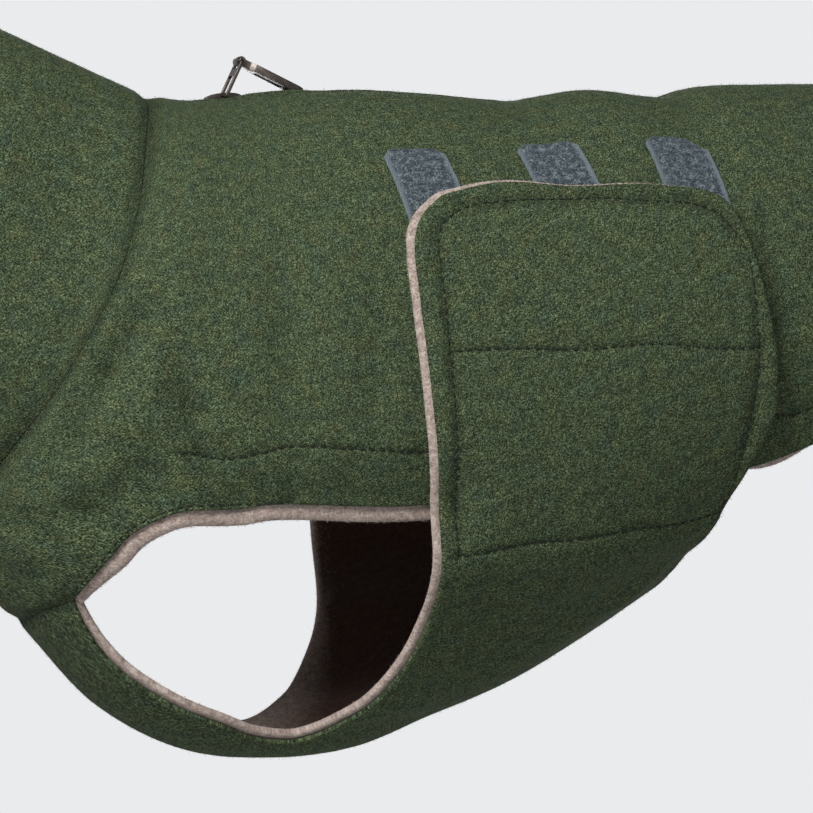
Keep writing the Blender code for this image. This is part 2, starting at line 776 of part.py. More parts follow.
def make_chain():
    """The closed rows of teeth as one bar, from the slider's post to the zip's end."""
    rear_of_post = slider_point().x - SLIDER_LENGTH / 2 + POST_LENGTH + GAP
    front = SLIDER_STATION + rear_of_post - slider_point().x
    corners = ((-CHAIN_HALF, CHAIN_UNDER), (CHAIN_HALF, CHAIN_UNDER), (CHAIN_HALF, CHAIN_TOP))
    corners += ((-CHAIN_HALF, CHAIN_TOP),)
    points, faces = [], []
    stations = even(front, ZIP_END - GAP)
    for station in stations:
        for across, lift in corners:
            point = on_coat(station, BACK, lift)
            points.append((point.x, across, point.z))
    for start in range(0, 4 * len(stations) - 4, 4):
        for k in range(4):
            a, b = start + k, start + (k + 1) % 4
            faces.append((a, b, b + 4, a + 4))
    end = len(points)
    faces += [(0, 1, 2, 3), (end - 1, end - 2, end - 3, end - 4)]
    add_object("zip_chain", closed_mesh("zip_chain", points, faces), ZIP_GREEN)


def make_slider():
    """Slider: two plates joined by a post at the front, and a bridge for the link."""
    half = SLIDER_LENGTH / 2
    narrow = SLIDER_HALF - SLIDER_HALF_REAR
    plan = (
        (-half, SLIDER_HALF - 2 * narrow),
        (-half + narrow, SLIDER_HALF),
        (0.0, SLIDER_HALF),
        (half - narrow, SLIDER_HALF_REAR),
        (half, SLIDER_HALF_REAR - narrow),
    )
    plan += tuple((along, -across) for along, across in reversed(plan))
    plate = Vector((0, 0, SLIDER_PLATE))

    def flat(lift, shape):
        return [Vector((along, across, lift)) for along, across in shape]

    slider = prism("zip_slider", flat(SLIDER_TOP - SLIDER_PLATE, plan), plate, GUNMETAL)
    slider.location = slider_point()
    slider.rotation_euler.y = slider_tilt()
    under_plate = prism("under_plate", flat(SLIDER_UNDER - SLIDER_PLATE, plan), plate, GUNMETAL)
    post_front, post_rear = -half + narrow, -half + POST_LENGTH
    post_plan = ((post_front, -POST_HALF), (post_rear, -POST_HALF))
    post_plan += ((post_rear, POST_HALF), (post_front, POST_HALF))
    sunk = SLIDER_PLATE / 2
    post_height = Vector((0, 0, SLIDER_TOP - SLIDER_UNDER))
    post = prism("post", flat(SLIDER_UNDER - sunk, post_plan), post_height, GUNMETAL)
    bar_top = SLIDER_TOP + GAP + WIRE + GAP
    reach, inner = BRIDGE_LENGTH / 2, BRIDGE_LENGTH / 2 - BRIDGE_SHEET
    low, crown = SLIDER_TOP - sunk, bar_top + BRIDGE_SHEET
    bevel = BRIDGE_SHEET
    profile = (
        (-reach, low), (-reach, crown - bevel), (-reach + bevel, crown), (reach - bevel, crown),
        (reach, crown - bevel), (reach, low), (inner, low), (inner, bar_top), (-inner, bar_top),
        (-inner, low),
    )
    corners = [Vector((along, -BRIDGE_HALF, lift)) for along, lift in profile]
    bridge = prism("bridge", corners, Vector((0, 2 * BRIDGE_HALF, 0)), GUNMETAL)
    for piece in (under_plate, post, bridge):
        combine(slider, "UNION", piece)


def link_pivot():
    """Middle of the link's lower bar, under the slider's bridge."""
    return slider_point(SLIDER_TOP + GAP + WIRE / 2)


def tab_pivot():
    """Middle of the link's upper bar, in the tab's eye."""
    tilt = math.radians(LINK_TILT)
    return link_pivot() + Vector((math.cos(tilt), 0, math.sin(tilt))) * LINK_LENGTH


def make_link():
    """Wire link, a long ring whose lower bar is the origin's axis."""
    curve = bpy.data.curves.new("pull_link", "CURVE")
    curve.dimensions = "3D"
    curve.bevel_depth = WIRE / 2
    curve.bevel_resolution = 2
    bends = (
        (LINK_LENGTH - LINK_BEND, LINK_HALF - LINK_BEND),
        (LINK_BEND, LINK_HALF - LINK_BEND),
        (LINK_BEND, -LINK_HALF + LINK_BEND),
        (LINK_LENGTH - LINK_BEND, -LINK_HALF + LINK_BEND),
    )
    points = []
    for quarter, (along, across) in enumerate(bends):
        for step in range(4):
            angle = math.radians(90 * quarter + 30 * step)
            points.append((along + LINK_BEND * math.cos(angle), across + LINK_BEND * math.sin(angle)))
    spline = curve.splines.new("POLY")
    spline.points.add(len(points) - 1)
    for point, (along, across) in zip(spline.points, points):
        point.co = (along, across, 0, 1)
    spline.use_cyclic_u = True
    link = link_object(bpy.data.objects.new("pull_link", curve), GUNMETAL)
    link.location = link_pivot()
    link.rotation_euler.y = -math.radians(LINK_TILT)


def make_tab():
    """Pull tab: a flat strip whose neck is rolled round the link's upper bar."""
    side = (
        (0.0, TAB_NECK_HALF),
        (TAB_NECK, TAB_NECK_HALF),
        (TAB_NECK + TAB_SHOULDER, TAB_HALF),
        (TAB_LENGTH - TAB_CORNER, TAB_HALF),
        (TAB_LENGTH - 0.3 * TAB_CORNER, TAB_HALF - 0.3 * TAB_CORNER),
        (TAB_LENGTH, TAB_HALF - TAB_CORNER),
    )
    plan = side + tuple((along, -across) for along, across in reversed(side))
    upright = Vector((0, 0, TAB_SHEET))
    below = -TAB_SHEET / 2
    tab = prism("pull_tab", [Vector((*corner, below)) for corner in plan], upright, GUNMETAL)
    tab.location = tab_pivot()
    tab.rotation_euler.y = math.radians(TAB_TILT)
    combine(tab, "UNION", across_rod("tab_eye", TAB_EYE, TAB_NECK_HALF, GUNMETAL))
    combine(tab, "DIFFERENCE", across_rod("tab_eye_hole", TAB_EYE_HOLE, 2 * TAB_NECK_HALF, GUNMETAL))
    near, far = TAB_SLOT
    slot = ((near, -TAB_SLOT_HALF), (far, -TAB_SLOT_HALF), (far, TAB_SLOT_HALF), (near, TAB_SLOT_HALF))
    cutter = [Vector((*corner, 2 * below)) for corner in slot]
    combine(tab, "DIFFERENCE", prism("tab_slot", cutter, 2 * upright, GUNMETAL))


def main():
    """Builds the coat."""
    for obj in list(bpy.data.objects):
        bpy.data.objects.remove(obj)
    make_back()
    make_collar()
    make_belly()
    make_chain()
    make_slider()
    make_link()
    make_tab()


if __name__ == "__main__":
    main()
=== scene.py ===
"""Dog winter coat of felted wool: its cloth, sewing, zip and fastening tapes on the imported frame.

The cloth pieces are shells on one smooth trunk form, the one that the solids lie on. A place
on the form is a station (metres along the side, growing towards the tail) and a turn (degrees
round the trunk: 0 on the back line, 180 on the belly line, left side first). A lift is a
height above the face of the wool. Metres, +X towards the tail, +Z up.
"""
import sys
import logging
import math
from collections.abc import Callable, Sequence
from dataclasses import astuple, dataclass, field
from enum import Enum

import bpy
import numpy as np
from mathutils import Matrix, Vector
from mathutils.geometry import delaunay_2d_cdt
from mathutils.kdtree import KDTree


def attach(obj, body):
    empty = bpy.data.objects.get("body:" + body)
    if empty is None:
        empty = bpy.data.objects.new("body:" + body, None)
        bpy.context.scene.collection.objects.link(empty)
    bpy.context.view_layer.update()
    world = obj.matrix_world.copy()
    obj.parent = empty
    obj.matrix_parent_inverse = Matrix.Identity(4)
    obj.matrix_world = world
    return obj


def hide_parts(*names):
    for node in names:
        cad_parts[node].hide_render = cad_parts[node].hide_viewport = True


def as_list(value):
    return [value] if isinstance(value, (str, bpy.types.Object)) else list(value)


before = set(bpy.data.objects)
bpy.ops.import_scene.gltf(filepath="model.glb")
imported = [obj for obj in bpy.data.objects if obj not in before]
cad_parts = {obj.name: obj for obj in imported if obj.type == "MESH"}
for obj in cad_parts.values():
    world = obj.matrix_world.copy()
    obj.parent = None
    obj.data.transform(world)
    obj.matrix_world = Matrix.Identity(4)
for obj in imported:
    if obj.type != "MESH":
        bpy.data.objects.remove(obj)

log = logging.getLogger("dog_coat")
Array = np.ndarray
Object = bpy.types.Object
Material = bpy.types.Material
Socket = bpy.types.NodeSocket
Colour = tuple[float, float, float]
Point = tuple[float, float, float]
Pair = tuple[float, float]
Plan = Sequence[Pair]

MM = 0.001
BACK, BELLY = 0.0, 180.0
DEGREES_ROUND = 360.0
DEGREE_LENGTH = 0.0015
FINE_STEP = 0.4 * MM
COAT = "coat"
UV_NAME = "cloth"


class Side(Enum):
    """The wearer's side that a piece is on."""

    LEFT = 1
    RIGHT = -1

    @property
    def label(self) -> str:
        """The side's name as pieces carry it."""
        return self.name.lower()


class Slot(Enum):
    """The record's material slots."""

    WOOL = "wool"
    FLEECE = "fleece"
    LOOP = "loop"
    ZIP_TAPE = "zip_tape"
    ZIP_TEETH = "zip_teeth"
    GUNMETAL = "gunmetal"


# ------------------------ the trunk form
@dataclass(frozen=True)
class Ring:
    """One section of the trunk form.

    Its upper and lower half are parts of superellipses with the powers over and under,
    and its widest place is a share of the way down it.
    """

    station: float
    top_x: float
    top_z: float
    bottom_x: float
    bottom_z: float
    half_width: float
    widest: float
    over: float
    under: float


RINGS = (
    Ring(-0.145, -0.0920, 0.0370, -0.1405, -0.0830, 0.0485, 0.50, 2.1, 2.1),
    Ring(-0.115, -0.0660, 0.0273, -0.1180, -0.0960, 0.0495, 0.50, 2.1, 2.1),
    Ring(-0.090, -0.0430, 0.0174, -0.0980, -0.1100, 0.0515, 0.50, 2.1, 2.1),
    Ring(-0.062, -0.0160, 0.0063, -0.0760, -0.1260, 0.0555, 0.50, 2.1, 2.1),
    Ring(-0.051, -0.0110, 0.0057, -0.0745, -0.1380, 0.0600, 0.51, 2.1, 2.1),
    Ring(-0.040, -0.0065, 0.0052, -0.0688, -0.1528, 0.0655, 0.52, 2.1, 2.0),
    Ring(-0.028, -0.0015, 0.0049, -0.0528, -0.1690, 0.0695, 0.52, 2.15, 1.95),
    Ring(-0.014, 0.0045, 0.0050, -0.0312, -0.1920, 0.0715, 0.52, 2.2, 1.9),
    Ring(0.004, 0.0140, 0.0057, -0.0033, -0.2070, 0.0735, 0.52, 2.2, 1.85),
    Ring(0.030, 0.0320, 0.0077, 0.0280, -0.2110, 0.0750, 0.51, 2.2, 1.85),
    Ring(0.055, 0.0550, 0.0093, 0.0550, -0.2083, 0.0760, 0.50, 2.2, 1.9),
    Ring(0.080, 0.0800, 0.0085, 0.0800, -0.1988, 0.0765, 0.50, 2.2, 1.9),
    Ring(0.108, 0.1080, 0.0071, 0.1080, -0.1873, 0.0760, 0.50, 2.2, 1.95),
    Ring(0.135, 0.1350, 0.0111, 0.1350, -0.1720, 0.0745, 0.50, 2.2, 2.0),
    Ring(0.161, 0.1610, 0.0096, 0.1610, -0.1560, 0.0725, 0.50, 2.2, 2.0),
    Ring(0.176, 0.1760, 0.0134, 0.1760, -0.1500, 0.0715, 0.50, 2.2, 2.0),
    Ring(0.200, 0.2000, 0.0148, 0.2000, -0.1440, 0.0695, 0.50, 2.2, 2.0),
    Ring(0.225, 0.2250, 0.0150, 0.2250, -0.1400, 0.0670, 0.50, 2.2, 2.0),
    Ring(0.260, 0.2600, 0.0125, 0.2600, -0.1380, 0.0630, 0.50, 2.15, 2.0),
    Ring(0.300, 0.3000, 0.0050, 0.3000, -0.1370, 0.0580, 0.50, 2.1, 2.0),
    Ring(0.352, 0.3520, -0.0125, 0.3470, -0.1370, 0.0515, 0.50, 2.1, 2.0),
)


@dataclass(frozen=True)
class Crease:
    """A soft trough along a short line, or a soft ridge where its depths are below zero."""

    station: float
    turn: float
    end_station: float
    end_turn: float
    width: float
    depth: float
    right_depth: float


CREASES = (
    # from the shoulder down to the chest, in front of the leg hole
    Crease(-0.0347, 82.6, -0.0397, 96.3, 0.0058, 0.0040, 0.0031),
    Crease(-0.0399, 98.0, -0.0411, 112.0, 0.0058, 0.0031, 0.0026),
    Crease(-0.0412, 114.0, -0.0449, 131.0, 0.0062, 0.0023, 0.0018),
    # the ridges on both sides of it
    Crease(-0.0440, 86.0, -0.0490, 102.0, 0.0060, -0.0014, -0.0016),
    Crease(-0.0292, 88.0, -0.0318, 104.0, 0.0055, -0.0014, -0.0011),
    # over the leg hole
    Crease(-0.0233, 84.0, -0.0150, 90.0, 0.0050, 0.0027, 0.0034),
    Crease(-0.0146, 91.0, -0.0088, 96.0, 0.0055, 0.0028, 0.0025),
    Crease(-0.0085, 97.0, 0.0003, 102.1, 0.0058, 0.0018, 0.0013),
    Crease(0.0040, 104.5, 0.0640, 107.0, 0.0110, 0.0046, 0.0040),
    Crease(0.0165, 95.5, 0.0178, 101.5, 0.0042, 0.0007, 0.0009),
    Crease(0.0360, 97.0, 0.0366, 101.8, 0.0040, 0.0006, 0.0003),
    # across the chest
    Crease(-0.0450, 145.0, -0.0317, 127.6, 0.0055, 0.0025, 0.0021),
    Crease(-0.0312, 126.0, -0.0205, 108.5, 0.0060, 0.0032, 0.0028),
    Crease(-0.0386, 161.5, -0.0325, 139.0, 0.0050, 0.0018, 0.0021),
    Crease(-0.0380, 152.0, -0.0300, 133.0, 0.0045, -0.0006, -0.0004),
    # soft ones down the flank
    Crease(0.0126, 62.0, 0.0133, 74.0, 0.0085, 0.0009, 0.0013),
    Crease(0.0140, 76.0, 0.0165, 87.5, 0.0080, 0.0011, 0.0008),
    Crease(0.0300, 66.0, 0.0290, 82.0, 0.0090, -0.0007, -0.0010),
    Crease(0.0479, 66.0, 0.0437, 86.0, 0.0080, 0.0010, 0.0006),
    Crease(0.0551, 75.0, 0.0582, 98.0, 0.0046, 0.0012, 0.0010),
    Crease(-0.0060, 64.0, -0.0010, 80.0, 0.0080, -0.0006, -0.0009),
    # across the back where the zip ends, and behind it
    Crease(0.1085, 0.0, 0.1065, 24.0, 0.0040, 0.0004, 0.0004),
    Crease(0.1610, 0.0, 0.1680, 22.0, 0.0040, 0.0005, 0.0004),
    Crease(0.0355, 18.0, 0.0384, 21.5, 0.0022, 0.0007, 0.0003),
    # behind the flaps
    Crease(0.1772, 68.0, 0.1815, 90.0, 0.0050, 0.0013, 0.0011),
    Crease(0.1818, 92.0, 0.1822, 108.0, 0.0052, 0.0010, 0.0012),
    Crease(0.2150, 58.0, 0.2300, 92.0, 0.0110, 0.0015, 0.0011),
    Crease(0.2480, 30.0, 0.2420, 72.0, 0.0120, -0.0010, -0.0013),
    Crease(0.2750, 40.0, 0.2680, 82.0, 0.0110, 0.0014, 0.0016),
    Crease(0.3040, 22.0, 0.3080, 62.0, 0.0095, 0.0011, 0.0008),
    # on the flaps and the belly
    Crease(0.1175, 152.0, 0.1400, 150.0, 0.0075, -0.0010, -0.0008),
    Crease(0.1400, 150.0, 0.1600, 141.5, 0.0070, -0.0010, -0.0012),
    Crease(0.0870, 126.0, 0.0930, 146.0, 0.0080, 0.0008, 0.0006),
    Crease(0.0950, 100.0, 0.1020, 113.0, 0.0085, 0.0006, 0.0009),
    Crease(0.1250, 70.0, 0.1280, 82.0, 0.0100, 0.0005, 0.0006),
    Crease(0.0500, 158.0, 0.0760, 166.0, 0.0070, 0.0009, 0.0011),
    # on the collar
    Crease(-0.0700, 96.0, -0.0740, 122.0, 0.0070, -0.0008, -0.0006),
    Crease(-0.0830, 40.0, -0.0790, 78.0, 0.0110, 0.0012, 0.0009),
    Crease(-0.1050, 60.0, -0.1000, 110.0, 0.0120, -0.0009, -0.0012),
    Crease(-0.1200, 118.0, -0.1060, 150.0, 0.0090, 0.0014, 0.0011),
    Crease(-0.0880, 128.0, -0.0800, 158.0, 0.0080, 0.0013, 0.0016),
)


@dataclass(frozen=True)
class Wave:
    """One of the long, low waves that keep the cloth from looking pressed flat."""

    along: float
    around: float
    shift: float
    height: float


WAVES = (
    Wave(0.055, 70.0, 0.3, 0.00022),
    Wave(0.031, -48.0, 1.9, 0.00018),
    Wave(-0.023, 33.0, 4.1, 0.00013),
    Wave(0.017, 95.0, 2.6, 0.00010),
)


def smoothstep(low: float, high: float, value: Array) -> Array:
    """Rises smoothly from 0 at low to 1 at high."""
    share = np.clip((value - low) / (high - low), 0.0, 1.0)
    return share * share * (3.0 - 2.0 * share)


def plateau(rise: Pair, fall: Pair, value: Array) -> Array:
    """Rises smoothly from 0 to 1 over one range, and falls back to 0 over another."""
    return smoothstep(*rise, value) * (1.0 - smoothstep(*fall, value))


def unit(vectors: Array) -> Array:
    """Rows scaled to length 1."""
    return vectors / np.maximum(np.linalg.norm(vectors, axis=-1, keepdims=True), 1e-12)


def side_turns(turns: Array) -> Array:
    """Turns of either side as turns of 0 to 180."""
    return np.abs((turns + BELLY) % DEGREES_ROUND - BELLY)


def places_of(stations: Array | float, turns: Array | float) -> Array:
    """Rows of station and turn; either may be one number for all rows."""
    return np.stack(np.broadcast_arrays(stations, turns), 1)


class TrunkForm:
    """The form that all cloth lies on.

    Args:
        rings: Sections from the collar to the tail.
        creases: Troughs and ridges in every layer of the cloth.
        waves: Long low waves in every layer.
    """

    CHART_STEP = 0.008
    CHART_TURN = 2.0
    CHART_PAST = 0.02
    SLOPE_STEP = 0.0008
    SLOPE_TURN = 0.6
    # within these turns of the back line and the belly line both sides are alike
    SHARED_TURN = 25.0
    UNEVEN = 0.9
    # stations and turns beside the zip where the cloth is free of creases
    CALM_START, CALM_END, CALM_TURNS = (-0.045, -0.025), (0.1, 0.107), (10.0, 24.0)

    def __init__(self, rings: Sequence[Ring], creases: Sequence[Crease], waves: Sequence[Wave]) -> None:
        self.table = np.array([astuple(ring) for ring in rings])
        self.stations = self.table[:, 0]
        self.creases = creases
        self.waves = waves
        last = len(rings) - 1
        ahead = np.minimum(np.arange(len(rings)) + 1, last)
        behind = np.maximum(np.arange(len(rings)) - 1, 0)
        span = self.stations[ahead] - self.stations[behind]
        self.slopes = (self.table[ahead] - self.table[behind]) / span[:, None]
        end = rings[-1].station + self.CHART_PAST
        self.chart_stations = np.arange(rings[0].station, end, self.CHART_STEP)
        turns = np.arange(0.0, BELLY + 0.5 * self.CHART_TURN, self.CHART_TURN)
        grid = np.array([[(station, turn) for turn in turns] for station in self.chart_stations])
        points = self.point(grid.reshape(-1, 2)).reshape(*grid.shape[:2], 3)
        steps = np.linalg.norm(np.diff(points, axis=1), axis=2)
        self.arcs = np.concatenate([np.zeros((len(steps), 1)), np.cumsum(steps, axis=1)], axis=1)

    def section(self, stations: Array) -> Array:
        """Ring values at stations, a row each, on smooth curves through the table."""
        k = np.searchsorted(self.stations[1:-1], stations)
        span = (self.stations[k + 1] - self.stations[k])[:, None]
        share = (stations - self.stations[k])[:, None] / span
        low, high = self.table[k], self.table[k + 1]
        return (
            low * (2 * share**3 - 3 * share**2 + 1)
            + self.slopes[k] * span * (share**3 - 2 * share**2 + share)
            + high * (3 * share**2 - 2 * share**3)
            + self.slopes[k + 1] * span * (share**3 - share**2)
        )

    def point(self, places: Array) -> Array:
        """Points of the wool's face before creases.

        Args:
            places: Rows of station and turn.

        Returns:
            Rows of x, y and z.
        """
        _, top_x, top_z, bottom_x, bottom_z, half, widest, over, under = self.section(places[:, 0]).T
        across = np.sin(np.radians(places[:, 1]))
        up = np.cos(np.radians(places[:, 1]))
        power = 2.0 / np.where(up >= 0, over, under)
        reach = half * np.sign(across) * np.abs(across) ** power
        shape = np.abs(up) ** power
        drop = np.where(up >= 0, widest * (1 - shape), widest + (1 - widest) * shape)
        return np.stack([top_x + (bottom_x - top_x) * drop, -reach, top_z + (bottom_z - top_z) * drop], 1)

    def slopes_at(self, places: Array) -> tuple[Array, Array]:
        """How points move for a metre of station and for a degree of turn."""
        ahead, turned = np.array([self.SLOPE_STEP, 0.0]), np.array([0.0, self.SLOPE_TURN])
        along = (self.point(places + ahead) - self.point(places - ahead)) / (2 * ahead[0])
        around = (self.point(places + turned) - self.point(places - turned)) / (2 * turned[1])
        return along, around

    def normal(self, places: Array) -> Array:
        """Outward directions."""
        along, around = self.slopes_at(places)
        return unit(np.cross(around, along))

    def crease_depth(self, places: Array) -> Array:
        """How far creases and waves push the cloth in."""
        stations, turns = places.T
        turned = side_turns(turns)
        below, above = (smoothstep(0.0, self.SHARED_TURN, away) for away in (turned, BELLY - turned))
        apart = below * above
        right = np.where(np.sin(np.radians(turns)) < 0, 0.5 + 0.5 * apart, 0.5 - 0.5 * apart)
        here = places_of(stations, turned * DEGREE_LENGTH)
        depth = np.zeros(len(places))
        for crease in self.creases:
            start = np.array([crease.station, crease.turn * DEGREE_LENGTH])
            run = np.array([crease.end_station, crease.end_turn * DEGREE_LENGTH]) - start
            share = np.clip((here - start) @ run / (run @ run), 0.0, 1.0)
            away = np.linalg.norm(here - start - share[:, None] * run, axis=1)
            deep = crease.depth + (crease.right_depth - crease.depth) * right
            depth += deep * np.exp(-((away / crease.width) ** 2))
        uneven = self.UNEVEN * right * np.sin(np.radians(turned))
        for wave in self.waves:
            angle = stations / wave.along + turned / wave.around + wave.shift
            depth += wave.height * np.sin(angle + uneven)
        by_zip = plateau(self.CALM_START, self.CALM_END, stations)
        return depth * (1.0 - by_zip * (1.0 - smoothstep(*self.CALM_TURNS, turned)))

    def lifted(self, places: Array, lifts: Array | float) -> Array:
        """Points at lifts above the wool's face, creases included."""
        rise = lifts - self.crease_depth(places)
        return self.point(places) + self.normal(places) * np.reshape(rise, (-1, 1))

    def arc(self, stations: Array, turned: Array) -> Array:
        """Length of cloth from the back line down to turns of 0 to 180."""
        row = np.clip((stations - self.chart_stations[0]) / self.CHART_STEP, 0, len(self.arcs) - 1.001)
        column = np.clip(turned / self.CHART_TURN, 0, self.arcs.shape[1] - 1.001)
        i, j = row.astype(int), column.astype(int)
        u, v = row - i, column - j
        low = self.arcs[i, j] * (1 - v) + self.arcs[i, j + 1] * v
        high = self.arcs[i + 1, j] * (1 - v) + self.arcs[i + 1, j + 1] * v
        return low * (1 - u) + high * u

    def chart(self, places: Array, from_belly: bool = False) -> Array:
        """Places as points of a flat chart, both ways in metres of cloth.

        Args:
            places: Rows of station and turn.
            from_belly: Measures round from the belly line, below zero on the left.

        Returns:
            Rows of station and length round.
        """
        stations, turns = places.T
        length = self.arc(stations, side_turns(turns))
        if from_belly:
            half = self.arc(stations, np.full(len(stations), BELLY))
            length = (length - half) * np.where(turns > BELLY, -1.0, 1.0)
        return np.stack([stations, length], 1)

    def turns_at(self, station: float, lengths: Array, from_belly: bool) -> Array:
        """Turns of the places that lie in one row of the chart."""
        turns = np.linspace(0.0, BELLY, 181)
        reached = self.arc(np.full(len(turns), station), turns)
        if not from_belly:
            return np.interp(lengths, reached, turns)
        turned = np.interp(reached[-1] - np.abs(lengths), reached, turns)
        return np.where(lengths > 0, DEGREES_ROUND - turned, turned)


# ------------------------ lines on the form
def stacked(*pairs: tuple[float, float]) -> Array:
    """Rows of station and turn from pairs."""
    return np.array(pairs, float)


def smooth_line(points: Array, lead: Array | None = None, follow: Array | None = None) -> Array:
    """Fine smooth line through points, which may lead in from one place and on to another."""
    parts = 24
    first = points[0] if lead is None else lead
    last = points[-1] if follow is None else follow
    line = np.vstack([first, points, last])
    share = np.linspace(0.0, 1.0, parts, endpoint=False)[:, None]
    fine = []
    for before, low, high, after in zip(line, line[1:], line[2:], line[3:]):
        bend = (2 * before - 5 * low + 4 * high - after) * share**2
        twist = (3 * low - before - 3 * high + after) * share**3
        fine.append(0.5 * (2 * low + (high - before) * share + bend + twist))
    return np.vstack([*fine, points[-1:]])


def lengths_along(points: Array) -> Array:
    """How far along its line each point is."""
    return np.concatenate([[0.0], np.cumsum(np.linalg.norm(np.diff(points, axis=0), axis=1))])


def places_along(line: Array, reached: Array, wanted: Array) -> Array:
    """Places at wanted lengths along a line, given how far along each of its places is."""
    return np.stack([np.interp(wanted, reached, column) for column in line.T], 1)


def spaced(form: TrunkForm, line: Array, step: float) -> Array:
    """Places an even step apart along a line, with its two ends kept."""
    reached = lengths_along(form.point(line))
    count = max(2, round(reached[-1] / step) + 1)
    return places_along(line, reached, np.linspace(0.0, reached[-1], count))


def stepped(form: TrunkForm, places: Array, steps: Array) -> Array:
    """Places that small steps, in metres, lead to."""
    along, around = form.slopes_at(places)
    aa, bb = (along * along).sum(1), (around * around).sum(1)
    ab, sa, sb = (along * around).sum(1), (steps * along).sum(1), (steps * around).sum(1)
    scale = aa * bb - ab * ab
    return places + np.stack([(sa * bb - sb * ab) / scale, (sb * aa - sa * ab) / scale], 1)


def beside(form: TrunkForm, line: Array, distance: float) -> Array:
    """Open line moved sideways, to the left of its direction as seen from outside."""
    sideways = unit(np.cross(form.normal(line), np.gradient(form.point(line), axis=0)))
    return stepped(form, line, sideways * distance)


def mirrored(places: Array) -> Array:
    """Places on the other side, in the opposite order."""
    return places_of(places[::-1, 0], DEGREES_ROUND - places[::-1, 1])


def within(points: Array, line: Array) -> Array:
    """Which flat points lie inside a closed flat line."""
    inside = np.zeros(len(points), bool)
    x, y = points.T
    for (ax, ay), (bx, by) in zip(line, np.roll(line, -1, axis=0)):
        if ay != by:
            spans = (y < ay) != (y < by)
            inside ^= spans & (x < ax + (bx - ax) * (y - ay) / (by - ay))
    return inside


class Nearby:
    """Finds how far the nearest of many points is."""

    def __init__(self, points: Array) -> None:
        self.tree = KDTree(len(points))
        for index, point in enumerate(points):
            self.tree.insert(point, index)
        self.tree.balance()

    def distance(self, points: Array) -> Array:
        """Distance from each row to the nearest point."""
        return np.array([self.tree.find(point)[2] for point in points])


def near_line(form: TrunkForm, line: Array, closed: bool = False) -> Nearby:
    """Nearest-point finder for a line on the form."""
    if closed:
        line = np.vstack([line, line[:1]])
    return Nearby(form.point(spaced(form, line, FINE_STEP)))


@dataclass(frozen=True)
class Run:
    """A stretch of an outline and how far the cut reaches past it.

    Where two rims meet at a seam, the stretch before goes on to their corner.
    """

    places: Array
    offset: float | Array
    free: bool = False
    corner: Array | None = None

    def reach(self) -> Array:
        """The offset at each place."""
        return np.broadcast_to(self.offset, len(self.places))


@dataclass(frozen=True)
class Cut:
    """Outline of a cloth piece, and which of its places no seam holds."""

    places: Array
    free: Array


def mitred(first: Array, one: Array, second: Array, two: Array) -> Array:
    """Steps that reach distances past both edges of each corner, given outward directions."""
    nearly_straight = 0.9
    lean = (first * second).sum(1, keepdims=True)
    one, two = one[:, None], two[:, None]
    gentle = (first + second) * (one + two) / (2 + 2 * lean)
    sharp = np.maximum(1 - lean * lean, 1e-6)
    strong = (first * (one - lean * two) + second * (two - lean * one)) / sharp
    return np.where(lean > nearly_straight, gentle, strong)


def turn_sense(places: Array) -> float:
    """1 or -1 for the way round that an outline runs."""
    area = places[:, 0] @ np.roll(places[:, 1], -1) - places[:, 1] @ np.roll(places[:, 0], -1)
    return math.copysign(1.0, area)


def edge_directions(form: TrunkForm, places: Array, before: Array, after: Array, sense: float) -> Array:
    """Outward directions of the edges that lead to and from each place."""
    normal = form.normal(places) * sense
    here = form.point(places)
    first = unit(np.cross(normal, here - form.point(before)))
    second = unit(np.cross(normal, form.point(after) - here))
    return np.stack([first, second])


def cut_out(form: TrunkForm, runs: Sequence[Run], closed: bool = True) -> Cut:
    """Outline through runs that meet end to start, each moved out by its own offset."""
    past_corner = 3
    # each row: a place, the place before it and its reach, the place after it and its reach, free or not
    rows = []
    for last, run in zip([*runs[-1:], *runs[:-1]], runs):
        start, before, came = run.places[0], last.places[-2], last.reach()[-1]
        places, reach = run.places, run.reach()
        if run.corner is not None:
            rows.append((start, before, came, run.corner, came, False))
            rows.append((run.corner, start, came, 2 * run.corner - start, came, True))
            places, reach = places[past_corner - 1 :], reach[past_corner - 1 :]
        elif not closed and not rows:
            rows.append((start, 2 * start - places[1], reach[0], places[1], reach[0], run.free))
        else:
            rows.append((start, before, came, places[1], reach[0], run.free))
        for before, place, after, past in zip(places, places[1:], places[2:], reach[1:]):
            rows.append((place, before, past, after, past, run.free))
    if not closed:
        end, before, past = runs[-1].places[-1], runs[-1].places[-2], runs[-1].reach()[-1]
        rows.append((end, before, past, 2 * end - before, past, runs[-1].free))
    place, before, one, after, two, free = (np.array(column) for column in zip(*rows))
    first, second = edge_directions(form, place, before, after, turn_sense(place))
    return Cut(stepped(form, place, mitred(first, one, second, two)), free.astype(bool))


